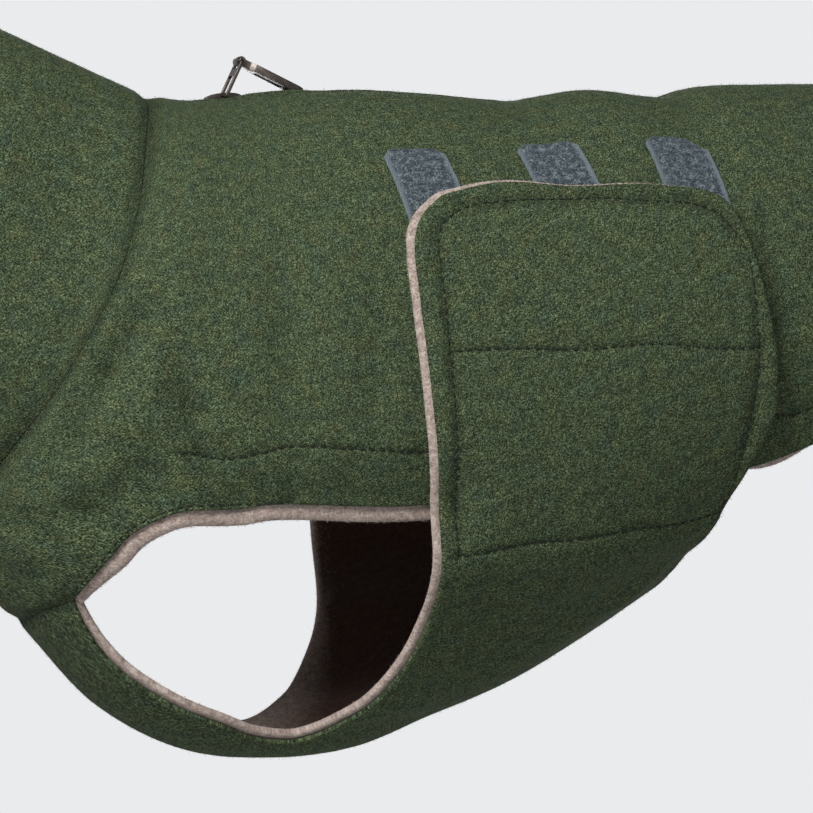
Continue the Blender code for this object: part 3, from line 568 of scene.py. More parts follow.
# ------------------------ the pattern
STRAP_SEAM = stacked((-0.0306, 180), (-0.0302, 164), (-0.0289, 156.2), (-0.0268, 147.5))
LEG_HOLE = stacked(
    (-0.0268, 147.5), (-0.0256, 137.2), (-0.0242, 130), (-0.0222, 122), (-0.0177, 114.4),
    (-0.0112, 108.9), (0.001, 105.5), (0.0185, 103.7), (0.07, 107.5),
)
HEM = stacked(
    (0.07, 107.5), (0.115, 111), (0.145, 117.3), (0.17, 123.5), (0.1962, 121.6),
    (0.25, 108), (0.29, 94), (0.318, 76), (0.333, 54), (0.341, 30), (0.344, 0),
)
STRAP_EDGE = stacked(
    (-0.0268, 147.5), (-0.0224, 151), (-0.0175, 152.7), (-0.0053, 153.6), (0.0085, 155.2),
    (0.019, 159.4), (0.0294, 161.5),
)
FLAP_FRONT = stacked(
    (0.0294, 161.5), (0.0357, 159.6), (0.0448, 154), (0.0514, 149.3), (0.0585, 141.2),
    (0.063, 133.5), (0.0644, 124.5), (0.0634, 110), (0.0607, 96), (0.0575, 80.8), (0.0554, 68),
    (0.0557, 62),
)
FLAP_TOP = stacked(
    (0.0557, 62), (0.058, 58.3), (0.0623, 55.5), (0.07, 52.9), (0.0956, 51), (0.139, 56.9),
    (0.1525, 58.4), (0.16, 61.1), (0.1642, 65),
)
FLAP_REAR = stacked(
    (0.1642, 65), (0.1682, 73.5), (0.1749, 93.3), (0.1763, 101), (0.1764, 109.5), (0.1686, 120.6),
    (0.1624, 129), (0.1608, 138), (0.1598, 148), (0.1573, 160), (0.1559, 170), (0.1555, 180),
)
HEM_UNDER_FLAP = stacked((0.0618, 107), (0.17, 123))

FLAP_STITCH = stacked(
    (0.0694, 115.7), (0.0678, 106.5), (0.0667, 94.6), (0.0646, 81.5), (0.0637, 72.0),
    (0.0631, 64.4), (0.0641, 60.5), (0.0676, 58.1), (0.0735, 56.2), (0.0818, 55.4), (0.0994, 54.9),
    (0.1175, 56.5), (0.1342, 60.1), (0.1478, 61.6), (0.1559, 63.7), (0.16, 66.6), (0.166, 74.0),
    (0.1686, 88.6), (0.1692, 97.0), (0.1678, 105.6), (0.1664, 113.1), (0.164, 121.0), (0.1606, 129.0),
)
FLAP_CROSS_STITCH = stacked(
    (0.0649, 81.3), (0.0936, 82.7), (0.1204, 85.5), (0.1479, 89.8), (0.1699, 93.9)
)
FLAP_LOW_STITCH = stacked(
    (0.0694, 115.7), (0.0825, 116.2), (0.0959, 116.6), (0.1246, 121.0), (0.15, 127.4), (0.1606, 129.0)
)
HEM_STITCH = stacked(
    (-0.0178, 100.5), (-0.0147, 98.8), (-0.0099, 97.8), (-0.0066, 97.2), (-0.0023, 95.8),
    (0.0014, 94.4), (0.0058, 93.3), (0.0127, 91.9), (0.0215, 92.2), (0.0327, 93.4), (0.0466, 95.0),
    (0.062, 97.0), (0.115, 102.0), (0.15, 108.0), (0.1796, 112.1), (0.1939, 112.4),
    (0.244, 101.5), (0.282, 89.5), (0.308, 73.0), (0.322, 52.5), (0.329, 30.0), (0.332, 1.0),
)


@dataclass(frozen=True)
class LoopTape:
    """Where one fastening tape lies, how it leans towards the tail, and its rear corner's cut.

    Its length is laid out in degrees of turn at loop_degree metres each. A degree is longer than
    that here, so on the form the tape is longer than loop_length.
    """

    station: float
    turn: float
    lean: float
    rear_cut: float


LOOP_TAPES = (
    LoopTape(0.0611, 39.3, 0.24, 2.5 * MM),
    LoopTape(0.1069, 37.0, 0.22, 2.5 * MM),
    LoopTape(0.1505, 39.8, 0.15, 6.5 * MM),
)


TURNS_DOWN = np.linspace(1.0, BELLY, 140)
# the stretches of the flaps' edges that the filling puffs up beside, and by how much
PUFFED = ((FLAP_REAR[1:8], 0.7 * MM), (FLAP_FRONT[5:11], 0.5 * MM))


@dataclass(frozen=True)
class Pattern:
    """Sizes of the cloth and outlines of the cut pieces."""

    form: TrunkForm
    wool: float = 1.8 * MM
    fleece: float = 2.8 * MM
    gap: float = 0.3 * MM
    flap_clear: float = 2.4 * MM
    rim_leg_hole: float = 5.8 * MM
    rim_hem: float = 1.0 * MM
    rim_collar: float = 2.0 * MM
    rim_strap: float = 2.1 * MM
    rim_flap_front: float = 2.0 * MM
    rim_flap_top: float = 2.5 * MM
    rim_flap_end: float = 1.5 * MM
    corner_share: float = 0.5
    corner_length: float = 30.0 * MM
    flap_top_length: float = 115.0 * MM
    hem_drop: float = 1.4 * MM
    hem_roll: float = 4.6 * MM
    hem_roll_station: float = 0.184
    hem_roll_width: float = 0.014
    hem_roll_turn: float = 90.0
    right_drape: float = 5.0 * MM
    drape_side: float = 20.0
    drape_turns: Pair = (112.0, 150.0)
    drape_start: Pair = (-0.005, 0.03)
    drape_end: Pair = (0.064, 0.14)
    collar_end: float = -0.138
    neck: float = -0.062
    neck_swing: float = 0.0113
    neck_swing_turn: float = 80.0
    neck_swing_above: float = 24.0
    neck_swing_below: float = 36.0
    tail_edge: float = 0.344
    zip_start: float = -0.0205
    zip_end: float = 0.107
    zip_wool_gap: float = 5.0 * MM
    zip_tape_sheet: float = 1.0 * MM
    zip_tape_inner: float = 2.8 * MM
    zip_tape_outer: float = 12.0 * MM
    loop_width: float = 21.0 * MM
    loop_length: float = 52.0 * MM
    loop_cut: float = 2.8 * MM
    loop_sheet: float = 1.0 * MM
    loop_degree: float = 0.0013
    loop_step: float = 0.9 * MM
    step: float = 2.0 * MM
    rise_done: float = 6.0
    rise_start: float = 27.0

    @property
    def lining_top(self) -> float:
        """Lift of the lining's outer face."""
        return -self.wool - self.gap

    @property
    def lining_under(self) -> float:
        """Lift of the lining's inner face."""
        return self.lining_top - self.fleece

    def flap_rise(self, places: Array) -> Array:
        """Rise of the belly panel, which passes from the trunk's layer to outside the back."""
        hem = np.interp(places[:, 0], *HEM_UNDER_FLAP.T)
        up = (hem + self.rise_start - side_turns(places[:, 1])) / (self.rise_start - self.rise_done)
        return (self.flap_clear - self.lining_under) * smoothstep(0.0, 1.0, up)

    def right_shift(self, places: Array) -> Array:
        """How far forward the right flap's front hangs, against the left one's."""
        stations, turns = places.T
        right = smoothstep(BELLY, BELLY + self.drape_side, turns)
        low = smoothstep(*self.drape_turns, side_turns(turns))
        front = plateau(self.drape_start, self.drape_end, stations)
        return places_of(-self.right_drape * (right * low) * front, 0.0)

    def passing(self, line: Array, start: float, end: float, length: float) -> Array:
        """Offsets along a line that pass from one value to another over its first stretch."""
        along = lengths_along(self.form.point(line))
        return start + (end - start) * smoothstep(0.0, length, along)

    def neck_seam(self, turns: Array) -> Array:
        """Stations of the neck seam, which swings back towards the tail on the shoulder."""
        width = np.where(turns < self.neck_swing_turn, self.neck_swing_above, self.neck_swing_below)
        return self.neck + self.neck_swing * np.exp(-(((turns - self.neck_swing_turn) / width) ** 2))

    def by_back_line(self, stations: Array, distance: float) -> Array:
        """Places at a real distance to the left of the back line."""
        *_, half, _, over, _ = self.form.section(stations).T
        return places_of(stations, np.degrees(np.arcsin((distance / half) ** (over / 2))))

    def ahead(self, start: float, end: float) -> Array:
        """Stations a step apart."""
        return np.linspace(start, end, max(2, round(abs(end - start) / self.step) + 1))

    def line(self, points: Array, lead: Array | None = None, follow: Array | None = None) -> Array:
        """Places a step apart on the smooth line through points."""
        return spaced(self.form, smooth_line(points, lead, follow), self.step)

    def neck_run(self) -> Array:
        """Places along the neck seam, from the back line to the throat."""
        down = places_of(self.neck_seam(TURNS_DOWN), TURNS_DOWN)
        start = self.by_back_line(np.array([self.neck]), 0.0)
        return spaced(self.form, np.vstack([start, down]), self.step)

    def rim_corner(self) -> Array:
        """Where the rims of the leg hole and of the strap meet, at the strap seam's end."""
        corner = STRAP_SEAM[-1:]
        leg_hole, strap = self.line(LEG_HOLE)[1:2], self.line(STRAP_EDGE)[1:2]
        first, second = edge_directions(self.form, corner, leg_hole, strap, 1.0)
        one, two = (np.array([self.corner_share * rim]) for rim in (self.rim_leg_hole, self.rim_strap))
        return stepped(self.form, corner, mitred(first, one, second, two))[0]

    def back(self, zip_gap: float, rims: tuple[float, float, float], corner: Array | None) -> Cut:
        """Outline of the left back panel, which reaches down to the chest.

        Args:
            zip_gap: Distance from the zip's middle to the edge beside it.
            rims: How far the edges of the leg hole, the hem and its roll behind the flap reach.
            corner: Where the rims meet at the strap seam, for the lining.

        Returns:
            The cut.
        """
        neck = self.neck_run()
        leg_hole, hem = self.line(LEG_HOLE), self.line(HEM)
        leg_reach = self.passing(leg_hole, self.corner_share * rims[0], rims[0], self.corner_length)
        hem_reach = self.passing(hem, rims[0], rims[1], self.corner_length)
        away = (hem[:, 0] - self.hem_roll_station) / self.hem_roll_width
        hem_reach += rims[2] * np.exp(-(away**2)) * (hem[:, 1] > self.hem_roll_turn)
        hem[-1] = self.by_back_line(np.array([self.tail_edge]), 0.0)[0]
        behind = self.by_back_line(self.ahead(self.tail_edge, self.zip_end), 0.0)
        by_zip = self.by_back_line(self.ahead(self.zip_end, self.zip_start), zip_gap)
        front = self.by_back_line(self.ahead(self.zip_start, self.neck), 0.0)
        runs = (
            Run(neck, 0.0),
            Run(self.line(np.vstack([neck[-1], STRAP_SEAM[0]])), 0.0),
            Run(self.line(STRAP_SEAM), 0.0),
            Run(leg_hole, leg_reach, True, corner),
            Run(hem, hem_reach, True),
            Run(np.vstack([behind, by_zip, front]), 0.0),
        )
        return cut_out(self.form, runs)

    def collar(self, rim: float) -> Cut:
        """Outline of the collar's left half, with a rim at its open end."""
        back = self.by_back_line(self.ahead(self.neck, self.collar_end), 0.0)
        end_line = np.vstack([back[-1], places_of(self.collar_end, TURNS_DOWN)])
        throat = places_of(self.ahead(self.collar_end, self.neck), BELLY)
        runs = (
            Run(back, 0.0),
            Run(spaced(self.form, end_line, self.step), rim, True),
            Run(throat, 0.0),
            Run(self.neck_run()[::-1], 0.0),
        )
        return cut_out(self.form, runs)

    def belly(self, rims: tuple[float, float, float], corner: Array | None) -> Cut:
        """Outline of the belly panel, one piece from flap to flap.

        Args:
            rims: How far the edges of the strap, the flaps' fronts and their tops reach out.
            corner: Where the rims meet at the strap seam, for the lining.

        Returns:
            The cut.
        """
        strap = self.line(STRAP_EDGE, None, FLAP_FRONT[1])
        strap_reach = self.passing(strap, self.corner_share * rims[0], rims[0], self.corner_length)
        top = self.line(FLAP_TOP, FLAP_FRONT[-2], FLAP_REAR[1])
        top_reach = self.passing(top, rims[2], min(rims[2], self.rim_flap_end), self.flap_top_length)
        runs = (
            Run(self.line(STRAP_SEAM), 0.0),
            Run(strap, strap_reach, True, corner),
            Run(self.line(FLAP_FRONT, STRAP_EDGE[-2], FLAP_TOP[1]), rims[1], True),
            Run(top, top_reach, True),
            Run(self.line(FLAP_REAR, FLAP_TOP[-2]), 0.0, True),
        )
        left = cut_out(self.form, runs, closed=False)
        left.places[[0, -1], 1] = BELLY
        places = np.vstack([left.places, mirrored(left.places)[1:-1]])
        return Cut(places, np.concatenate([left.free, left.free[::-1][1:-1]]))

    def loop(self, tape: LoopTape) -> Cut:
        """Outline of a loop tape."""
        corners = self.loop_corners(tape)
        edges = [self.loop_line(tape, a, b)[:-1] for a, b in zip(corners, corners[1:] + corners[:1])]
        places = np.vstack(edges)
        return Cut(places, np.ones(len(places), bool))

    def loop_corners(self, tape: LoopTape) -> list[Pair]:
        """Corners of a loop tape, along it across and down."""
        half, cut = self.loop_width / 2, self.loop_cut
        return [
            (-half, cut), (-half + cut, 0.0), (half - tape.rear_cut, 0.0), (half, tape.rear_cut),
            (half, self.loop_length), (-half, self.loop_length),
        ]

    def loop_line(self, tape: LoopTape, start: Pair, end: Pair) -> Array:
        """Places a short step apart between two points of a loop tape."""
        count = max(2, round(math.dist(start, end) / self.loop_step) + 1)
        across, down = np.linspace(start, end, count).T
        return places_of(tape.station + across + tape.lean * down, tape.turn + down / self.loop_degree)

    def loop_selvedges(self, tape: LoopTape, inside: float) -> list[Array]:
        """The two lines at a distance inside a loop tape's long edges."""
        half = self.loop_width / 2 - inside
        return [self.loop_line(tape, (x, 0.0), (x, self.loop_length)) for x in (-half, half)]

    def zip_tape(self) -> Cut:
        """Outline of the left zip tape."""
        stations = self.ahead(self.zip_start + self.gap, self.zip_end - self.gap)
        inner = self.by_back_line(stations, self.zip_tape_inner)
        outer = self.by_back_line(stations, self.zip_tape_outer)[::-1]
        places = np.vstack([inner, outer])
        return Cut(places, np.zeros(len(places), bool))


# ------------------------ meshes
def link(obj: Object) -> Object:
    """Puts an object into the scene."""
    bpy.context.scene.collection.objects.link(obj)
    return obj


def shell_object(name: str, points: Array, triangles: Array) -> Object:
    """Smooth object of triangles."""
    mesh = bpy.data.meshes.new(name)
    mesh.vertices.add(len(points))
    mesh.vertices.foreach_set("co", points.astype(np.float32).ravel())
    mesh.loops.add(3 * len(triangles))
    mesh.loops.foreach_set("vertex_index", triangles.astype(np.int32).ravel())
    mesh.polygons.add(len(triangles))
    mesh.polygons.foreach_set("loop_start", np.arange(0, 3 * len(triangles), 3, dtype=np.int32))
    mesh.polygons.foreach_set("use_smooth", np.ones(len(triangles), bool))
    mesh.update(calc_edges=True)
    mesh.validate()
    return link(bpy.data.objects.new(name, mesh))


def set_attribute(obj: Object, name: str, values: Array) -> None:
    """Keeps one number for each vertex on a mesh."""
    attribute = obj.data.attributes.new(name, "FLOAT", "POINT")
    attribute.data.foreach_set("value", values.astype(np.float32))


def set_uv(obj: Object, places: Array) -> None:
    """Gives a mesh the UV map that its finish is laid out on."""
    layer = obj.data.uv_layers.new(name=UV_NAME)
    corners = np.empty(len(obj.data.loops), np.int32)
    obj.data.loops.foreach_get("vertex_index", corners)
    layer.data.foreach_set("uv", places[corners].astype(np.float32).ravel())


def settle(obj: Object, body: str, slot: Slot, material: Material) -> None:
    """Gives a piece its finish and its body."""
    obj.data.materials.clear()
    obj.data.materials.append(material)
    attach(obj, body)


# ------------------------ cloth
@dataclass(frozen=True)
class Groove:
    """A line that sewing draws the outer face in along, or a ridge where depth is below zero."""

    line: Array
    depth: float
    width: float


class ClothNet:
    """Net of triangles inside a cut, the same for both sides of the coat.

    Args:
        form: The trunk form.
        cut: The outline.
        spacing: Distance between the net's own points.
        grooves: Lines in the outer face, which the net follows.
        from_belly: Charts the piece from the belly line.
        rounding: Radius of the rounded edges, which sets the rows beside the outline.
    """

    GROOVE_ROWS = (-1.3, -0.6, 0.0, 0.6, 1.3)
    GROOVE_STEP = 1.1 * MM
    EDGE_ROWS = (0.15, 0.5, 1.0, 2.1)
    # shares of the spacing that the lattice keeps from an edge and from a groove
    EDGE_CLEAR, GROOVE_CLEAR = 0.6, 0.5
    MERGED = 1e-7
    FAR_AWAY = (10.0, 0.0)

    def __init__(
        self,
        form: TrunkForm,
        cut: Cut,
        spacing: float,
        grooves: Sequence[Groove] = (),
        from_belly: bool = False,
        rounding: float = 0.8 * MM,
    ) -> None:
        self.form, self.cut, self.grooves, self.from_belly = form, cut, grooves, from_belly
        self.outline = form.chart(cut.places, from_belly)
        self.edge = near_line(form, cut.places, closed=True)
        self.groove_lines = [near_line(form, groove.line) for groove in grooves]
        rows = [self._row(rounding * share) for share in self.EDGE_ROWS]
        edge_clear = rounding * self.EDGE_ROWS[-1] + self.EDGE_CLEAR * spacing
        sewn = [self._groove_row(groove, share) for groove in grooves for share in self.GROOVE_ROWS]
        kept = [self._clear_of_edge(row, edge_clear) for row in sewn]
        lattice = self._clear_of_edge(self._lattice(spacing), edge_clear)
        for groove, near in zip(grooves, self.groove_lines):
            clear = groove.width * self.GROOVE_ROWS[-1] + self.GROOVE_CLEAR * spacing
            lattice = lattice[near.distance(form.point(lattice)) > clear]
        self.places = np.vstack([cut.places, *rows, *kept, lattice])
        self.chart = form.chart(self.places, from_belly)
        self.triangles = self._triangles()
        self.free = Nearby(form.point(self._free_places()))
        self.to_edge, self.to_free, self.sewn = self.measure(form.point(self.places))
        self.to_edge[: len(cut.places)] = 0.0

    def _row(self, inside: float) -> Array:
        """Places at a distance inside the outline."""
        line = self.cut.places
        before, after = np.roll(line, 1, axis=0), np.roll(line, -1, axis=0)
        first, second = edge_directions(self.form, line, before, after, turn_sense(line))
        reach = np.full(len(line), -inside)
        moved = stepped(self.form, line, mitred(first, reach, second, reach))
        kept = self.edge.distance(self.form.point(moved)) > 0.9 * inside
        return moved[kept & self._inside(moved)]

    def _groove_row(self, groove: Groove, share: float) -> Array:
        """Places along a groove, a share of its width to one side."""
        line = spaced(self.form, groove.line, max(self.GROOVE_STEP, groove.width))
        return beside(self.form, line, share * groove.width)

    def _inside(self, places: Array) -> Array:
        """Which places are inside the cut."""
        return within(self.form.chart(places, self.from_belly), self.outline)

    def _clear_of_edge(self, places: Array, clear: float) -> Array:
        """Places inside the cut that keep clear of its edge."""
        places = places[self._inside(places)]
        return places[self.edge.distance(self.form.point(places)) > clear]

    def _lattice(self, spacing: float) -> Array:
        """Even triangular lattice over the cut's chart."""
        low, high = self.outline.min(0), self.outline.max(0)
        rows = []
        for index, station in enumerate(np.arange(low[0], high[0], spacing * math.sqrt(0.75))):
            lengths = np.arange(low[1] + spacing * (index % 2) / 2, high[1], spacing)
            turns = self.form.turns_at(station, lengths, self.from_belly)
            rows.append(places_of(station, turns))
        return np.vstack(rows)

    def _triangles(self) -> Array:
        """Triangles inside the outline."""
        count = len(self.cut.places)
        edges = [(k, (k + 1) % count) for k in range(count)]
        points = [Vector(point) for point in self.chart]
        _, _, faces, origins, *_ = delaunay_2d_cdt(points, edges, [], 0, self.MERGED)
        if not all(origins):
            raise ValueError("an outline crosses itself")
        faces = np.array([origin[0] for origin in origins])[np.array(faces)]
        middles = self.chart[faces].mean(1)
        return faces[within(middles, self.chart[:count])]

    def _free_places(self) -> Array:
        """Places close together along the stretches that no seam holds, or one far away."""
        line, free = self.cut.places, self.cut.free
        pairs = [(k, (k + 1) % len(line)) for k in range(len(line))]
        shares = np.linspace(0.0, 1.0, 5, endpoint=False)[:, None]
        held = [line[a] + (line[b] - line[a]) * shares for a, b in pairs if free[a] and free[b]]
        return np.vstack(held) if held else np.array([self.FAR_AWAY])

    def measure(self, points: Array) -> tuple[Array, Array, Array]:
        """Distances to the outline and to its free stretches, and the grooves' depth, at points."""
        depth = np.zeros(len(points))
        for groove, near in zip(self.grooves, self.groove_lines):
            depth += groove.depth * np.exp(-((near.distance(points) / groove.width) ** 2))
        return self.edge.distance(points), self.free.distance(points), depth


@dataclass
class ClothPiece:
    """One cut piece of cloth: a closed thin shell with rounded edges.

    Sides share a net. The outer face follows the grooves, and both faces follow creases.
    """

    name: str
    net: ClothNet
    top: float
    under: float
    radius: float
    side: Side = Side.LEFT
    rise: Callable[[Array], Array] | None = None
    shift: Callable[[Array], Array] | None = None
    roughness: float = 0.05 * MM
    seam_radius: float = 0.3 * MM
    obj: Object | None = field(default=None, init=False)
    points: Array | None = field(default=None, init=False)
    faces: Array | None = field(default=None, init=False)
    face_count: int = field(default=0, init=False)

    # painted shade on the lining's inner face: how far in past a free edge it deepens, least far up the
    # chest's flanks, and where it starts on each side
    BRIGHT_REACH, DARK_REACH = 22.0 * MM, 3.0 * MM
    CHEST_START, CHEST_END, FLANK_TURNS = (-0.06, -0.02), (0.1, 0.17), (122.0, 170.0)
    LIT_LEFT, LIT_RIGHT = 3.5 * MM, 0.1 * MM
    # painted shade in the sewn grooves: the groove depth at which it is darkest
    DEEPEST_SEWN = 1.5 * MM

    def own(self, places: Array) -> Array:
        """Places on this piece's side, and as it hangs."""
        if self.shift:
            return places + self.shift(places)
        if self.side is Side.LEFT:
            return places
        return places_of(places[:, 0], DEGREES_ROUND - places[:, 1])

    def rounding(self, to_edge: Array, radius: float) -> Array:
        """How far a face drops towards an edge of a radius."""
        inside = np.clip(radius - to_edge, 0.0, radius)
        return radius - np.sqrt(np.maximum(radius**2 - inside**2, 0.0))

    def lifts(self, places: Array, measured: tuple[Array, Array, Array], outer: bool) -> Array:
        """Lifts of one of the two faces, given the net's distances and depths."""
        to_edge, to_free, sewn = measured
        held = self.rounding(to_edge, min(self.radius, self.seam_radius))
        dropped = np.maximum(self.rounding(to_free, self.radius), held)
        risen = self.rise(places) if self.rise else 0.0
        if outer:
            return self.top + risen - dropped - sewn
        return self.under + risen + dropped

    def light_reach(self, places: Array) -> Array:
        """How far light reaches in past a free edge: least far up the chest's flanks."""
        stations, turns = places.T
        chest = plateau(self.CHEST_START, self.CHEST_END, stations)
        flank = chest * (1.0 - smoothstep(*self.FLANK_TURNS, side_turns(turns)))
        return self.BRIGHT_REACH + (self.DARK_REACH - self.BRIGHT_REACH) * flank

    def surface(self, places: Array) -> Array:
        """Points on the outer face."""
        measured = self.net.measure(self.net.form.point(places))
        return self.net.form.lifted(self.own(places), self.lifts(places, measured, True))

    def build(self) -> Object:
        """Makes the shell with its UV map and attributes."""
        net = self.net
        places = self.own(net.places)
        lumps = self.roughness * self._lumps(net.chart)
        measured = net.to_edge, net.to_free, net.sewn
        outer = self.lifts(net.places, measured, True) + lumps
        inner = self.lifts(net.places, measured, False)
        self.points = np.vstack([net.form.lifted(places, outer), net.form.lifted(places, inner)])
        faces = self._facing_out(places)
        self.face_count = len(faces)
        count = len(places)
        self.faces = np.vstack([faces, faces[:, ::-1] + count, self._wall(faces, count)])
        self.obj = shell_object(self.name + "_cloth", self.points, self.faces)
        set_uv(self.obj, np.vstack([net.chart, net.chart]))
        # painted shade for the wool: the grooves' depth, kept for its finish to darken them
        sewn = np.clip(net.sewn / self.DEEPEST_SEWN, 0.0, 1.0)
        set_attribute(self.obj, "sewn", np.concatenate([sewn, np.zeros(count)]))
        # painted shade for the fleece: the inner face darkens with distance from a free edge
        lit = np.where(places[:, 1] > BELLY, self.LIT_RIGHT, self.LIT_LEFT)
        deep = smoothstep(0.0, 1.0, (net.to_free - lit) / self.light_reach(places))
        set_attribute(self.obj, "inner", np.concatenate([np.zeros(count), deep]))
        return self.obj

    def _facing_out(self, places: Array) -> Array:
        """The net's triangles in the order that makes them face outwards on this side."""
        faces = self.net.triangles
        corners = self.points[faces]
        facing = np.cross(corners[:, 1] - corners[:, 0], corners[:, 2] - corners[:, 0])
        outward = (facing * self.net.form.normal(places)[faces[:, 0]]).sum(1)
        return faces[:, ::-1] if np.median(outward) < 0 else faces

    def _wall(self, faces: Array, count: int) -> Array:
        """Triangles that join both faces along the outline."""
        edges = np.vstack([faces[:, [0, 1]], faces[:, [1, 2]], faces[:, [2, 0]]])
        keys = edges[:, 0].astype(np.int64) * count + edges[:, 1]
        back = edges[:, 1].astype(np.int64) * count + edges[:, 0]
        a, b = edges[~np.isin(keys, back)].T
        return np.vstack([np.stack([b, a, a + count], 1), np.stack([b, a + count, b + count], 1)])

    def _lumps(self, chart: Array) -> Array:
        """Uneven height of the cloth itself, between -1 and 1."""
        x, y = chart.T / MM
        mixed = np.sin(x * 0.71 + 1.3 * np.sin(y * 0.43)) * np.sin(y * 0.83 + 1.1 * np.sin(x * 0.37))
        return 0.6 * mixed + 0.4 * np.sin(x * 1.9 + y * 1.3) * np.sin(y * 1.7 - x * 0.9)

    def scatter(self, rng: np.random.Generator, count: int, weigh: Callable[[Array], Array]) -> Array:
        """Random spots on the shell.

        Args:
            rng: Seeded generator.
            count: How many.
            weigh: Gives each face its weight per area from rows of its mean distance to the
                outline, its mean distance to a free edge, and 0 for outer, 1 for inner or 2
                for edge faces.

        Returns:
            Rows of a point and a normal.
        """
        corners = self.points[self.faces]
        cross = np.cross(corners[:, 1] - corners[:, 0], corners[:, 2] - corners[:, 0])
        area = np.linalg.norm(cross, axis=1) / 2
        half = self.faces % len(self.net.places)
        kinds = np.full(len(self.faces), 2)
        kinds[: self.face_count] = 0
        kinds[self.face_count : 2 * self.face_count] = 1
        means = [self.net.to_edge[half].mean(1), self.net.to_free[half].mean(1), kinds]
        weight = area * weigh(np.stack(means, 1))
        picked = rng.choice(len(self.faces), count, p=weight / weight.sum())
        u, v = rng.random(count), rng.random(count)
        u, v = np.where(u + v > 1, 1 - u, u), np.where(u + v > 1, 1 - v, v)
        a, b, c = corners[picked].transpose(1, 0, 2)
        spots = a + (b - a) * u[:, None] + (c - a) * v[:, None]
        return np.hstack([spots, unit(cross[picked])])


def put_in_place(piece: ClothPiece, slot: Slot, material: Material) -> ClothPiece:
    """Builds a piece, gives it its finish and puts it in its solid's place."""
    settle(piece.build(), COAT, slot, material)
    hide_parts(piece.name)
    return piece


def all_over(means: Array) -> Array:
    """Weights for the outer face and its edges, fuller near free edges."""
    _, to_free, kinds = means.T
    return np.where(kinds == 1, 0.0, 1.0 + 2.0 * np.exp(-to_free / (2 * MM)))


def on_rims(means: Array) -> Array:
    """Weights for the strips beside free edges."""
    _, to_free, kinds = means.T
    return np.exp(-((to_free / (4.0 * MM)) ** 2)) * np.where(kinds == 2, 1.6, 1.0)


@dataclass(frozen=True)
class Nap:
    """Loose fibres that stand out of a cloth."""

    count: int
    shortest: float
    longest: float
    width: float
    upright: float
    seed: int
    weigh: Callable[[Array], Array] = all_over

    CURL = 0.22
    WIDTHS = (0.6, 1.3)
    SUNK = 0.05 * MM
    TIP_AHEAD, TIP_DROP = 0.93, 0.35

    def grow(self, piece: ClothPiece, material: Material, slot: Slot) -> Object:
        """Makes the fibres of one piece as one mesh of thin curved strips."""
        rng = np.random.default_rng(self.seed)
        spots = piece.scatter(rng, self.count, self.weigh)
        root, normal = spots[:, :3], spots[:, 3:]
        aside = unit(np.cross(normal, rng.normal(size=normal.shape)))
        rise = np.abs(rng.normal(0.0, self.upright, self.count))[:, None]
        ahead = unit(aside + normal * rise)
        span = np.cross(ahead, normal)
        length = rng.uniform(self.shortest, self.longest, self.count)[:, None]
        curl = rng.normal(0.0, self.CURL, self.count)[:, None]
        half = 0.5 * self.width * rng.uniform(*self.WIDTHS, self.count)[:, None]
        root = root - normal * self.SUNK
        middle = root + length * 0.5 * (ahead + span * curl)
        tip = root + length * (ahead * self.TIP_AHEAD - normal * rise * self.TIP_DROP)
        rows = [root, middle - span * half, middle + span * half, tip]
        points = np.stack(rows, 1).reshape(-1, 3)
        base = len(rows) * np.arange(self.count)[:, None]
        strips = [base + np.array([corners]) for corners in ((0, 2, 1), (1, 2, 3))]
        obj = shell_object("nap_" + piece.name, points, np.vstack(strips))
        set_attribute(obj, "shade", np.repeat(rng.random(self.count), len(rows)))
        settle(obj, COAT, slot, material)
        return obj


@dataclass(frozen=True)
class SewnLine:
    """A row of stitches on a cloth piece."""

    name: str
    line: Array
    pitch: float = 3.2 * MM
    stitch: float = 2.3 * MM
    thread: float = 0.29 * MM
    proud: float = 0.12 * MM

    SIDES = 6
    RINGS = 5
    FIRST = 0.4
    # how far places and lengths vary as shares of a stitch, and how fast
    WOBBLE, WOBBLE_TURN = 0.12, 7.3
    VARIED, VARIED_TURN = 0.14, 3.1
    ARCH, THIN_END, BULGE = 1.5, 0.55, 0.45

    def sew(self, piece: ClothPiece, side: str, material: Material) -> Object:
        """Makes the stitches on one piece as one mesh."""
        points, faces = [], []
        form = piece.net.form
        reached = lengths_along(form.point(self.line))
        starts = np.arange(self.FIRST * self.pitch, reached[-1] - self.stitch, self.pitch)
        arch = np.sin(np.linspace(0.0, math.pi, self.RINGS))[:, None]
        radii = self.thread * (self.THIN_END + self.BULGE * arch)
        for index, start in enumerate(starts):
            wobble = self.WOBBLE * self.stitch * math.sin(self.WOBBLE_TURN * index)
            length = self.stitch * (1.0 + self.VARIED * math.sin(self.VARIED_TURN * index + 1.0))
            places = places_along(self.line, reached, start + wobble + np.linspace(0.0, length, self.RINGS))
            normal = form.normal(piece.own(places))
            centre = piece.surface(places) + normal * (self.proud + self.thread * (self.ARCH * arch - 1.0))
            self._tube(points, faces, centre, normal, radii)
        obj = shell_object(f"stitches_{self.name}_{side}", np.array(points), np.array(faces))
        settle(obj, COAT, Slot.WOOL, material)
        return obj

    def _tube(self, points: list, faces: list, centre: Array, normal: Array, radii: Array) -> None:
        """Adds one closed stitch to lists of points and faces."""
        base = len(points)
        ahead = unit(np.gradient(centre, axis=0))
        span = unit(np.cross(ahead, normal))
        up = np.cross(span, ahead)
        for angle in np.linspace(0.0, 2 * math.pi, self.SIDES, endpoint=False):
            points.extend(centre + radii * (span * math.cos(angle) + up * math.sin(angle)))
        for k in range(self.SIDES):
            one, two = base + k * self.RINGS, base + (k + 1) % self.SIDES * self.RINGS
            for r in range(self.RINGS - 1):
                faces.extend([(one + r, two + r, two + r + 1), (one + r, two + r + 1, one + r + 1)])
            if 0 < k < self.SIDES - 1:
                faces.append((base, two, one))
                end = self.RINGS - 1
                faces.append((base + end, one + end, two + end))


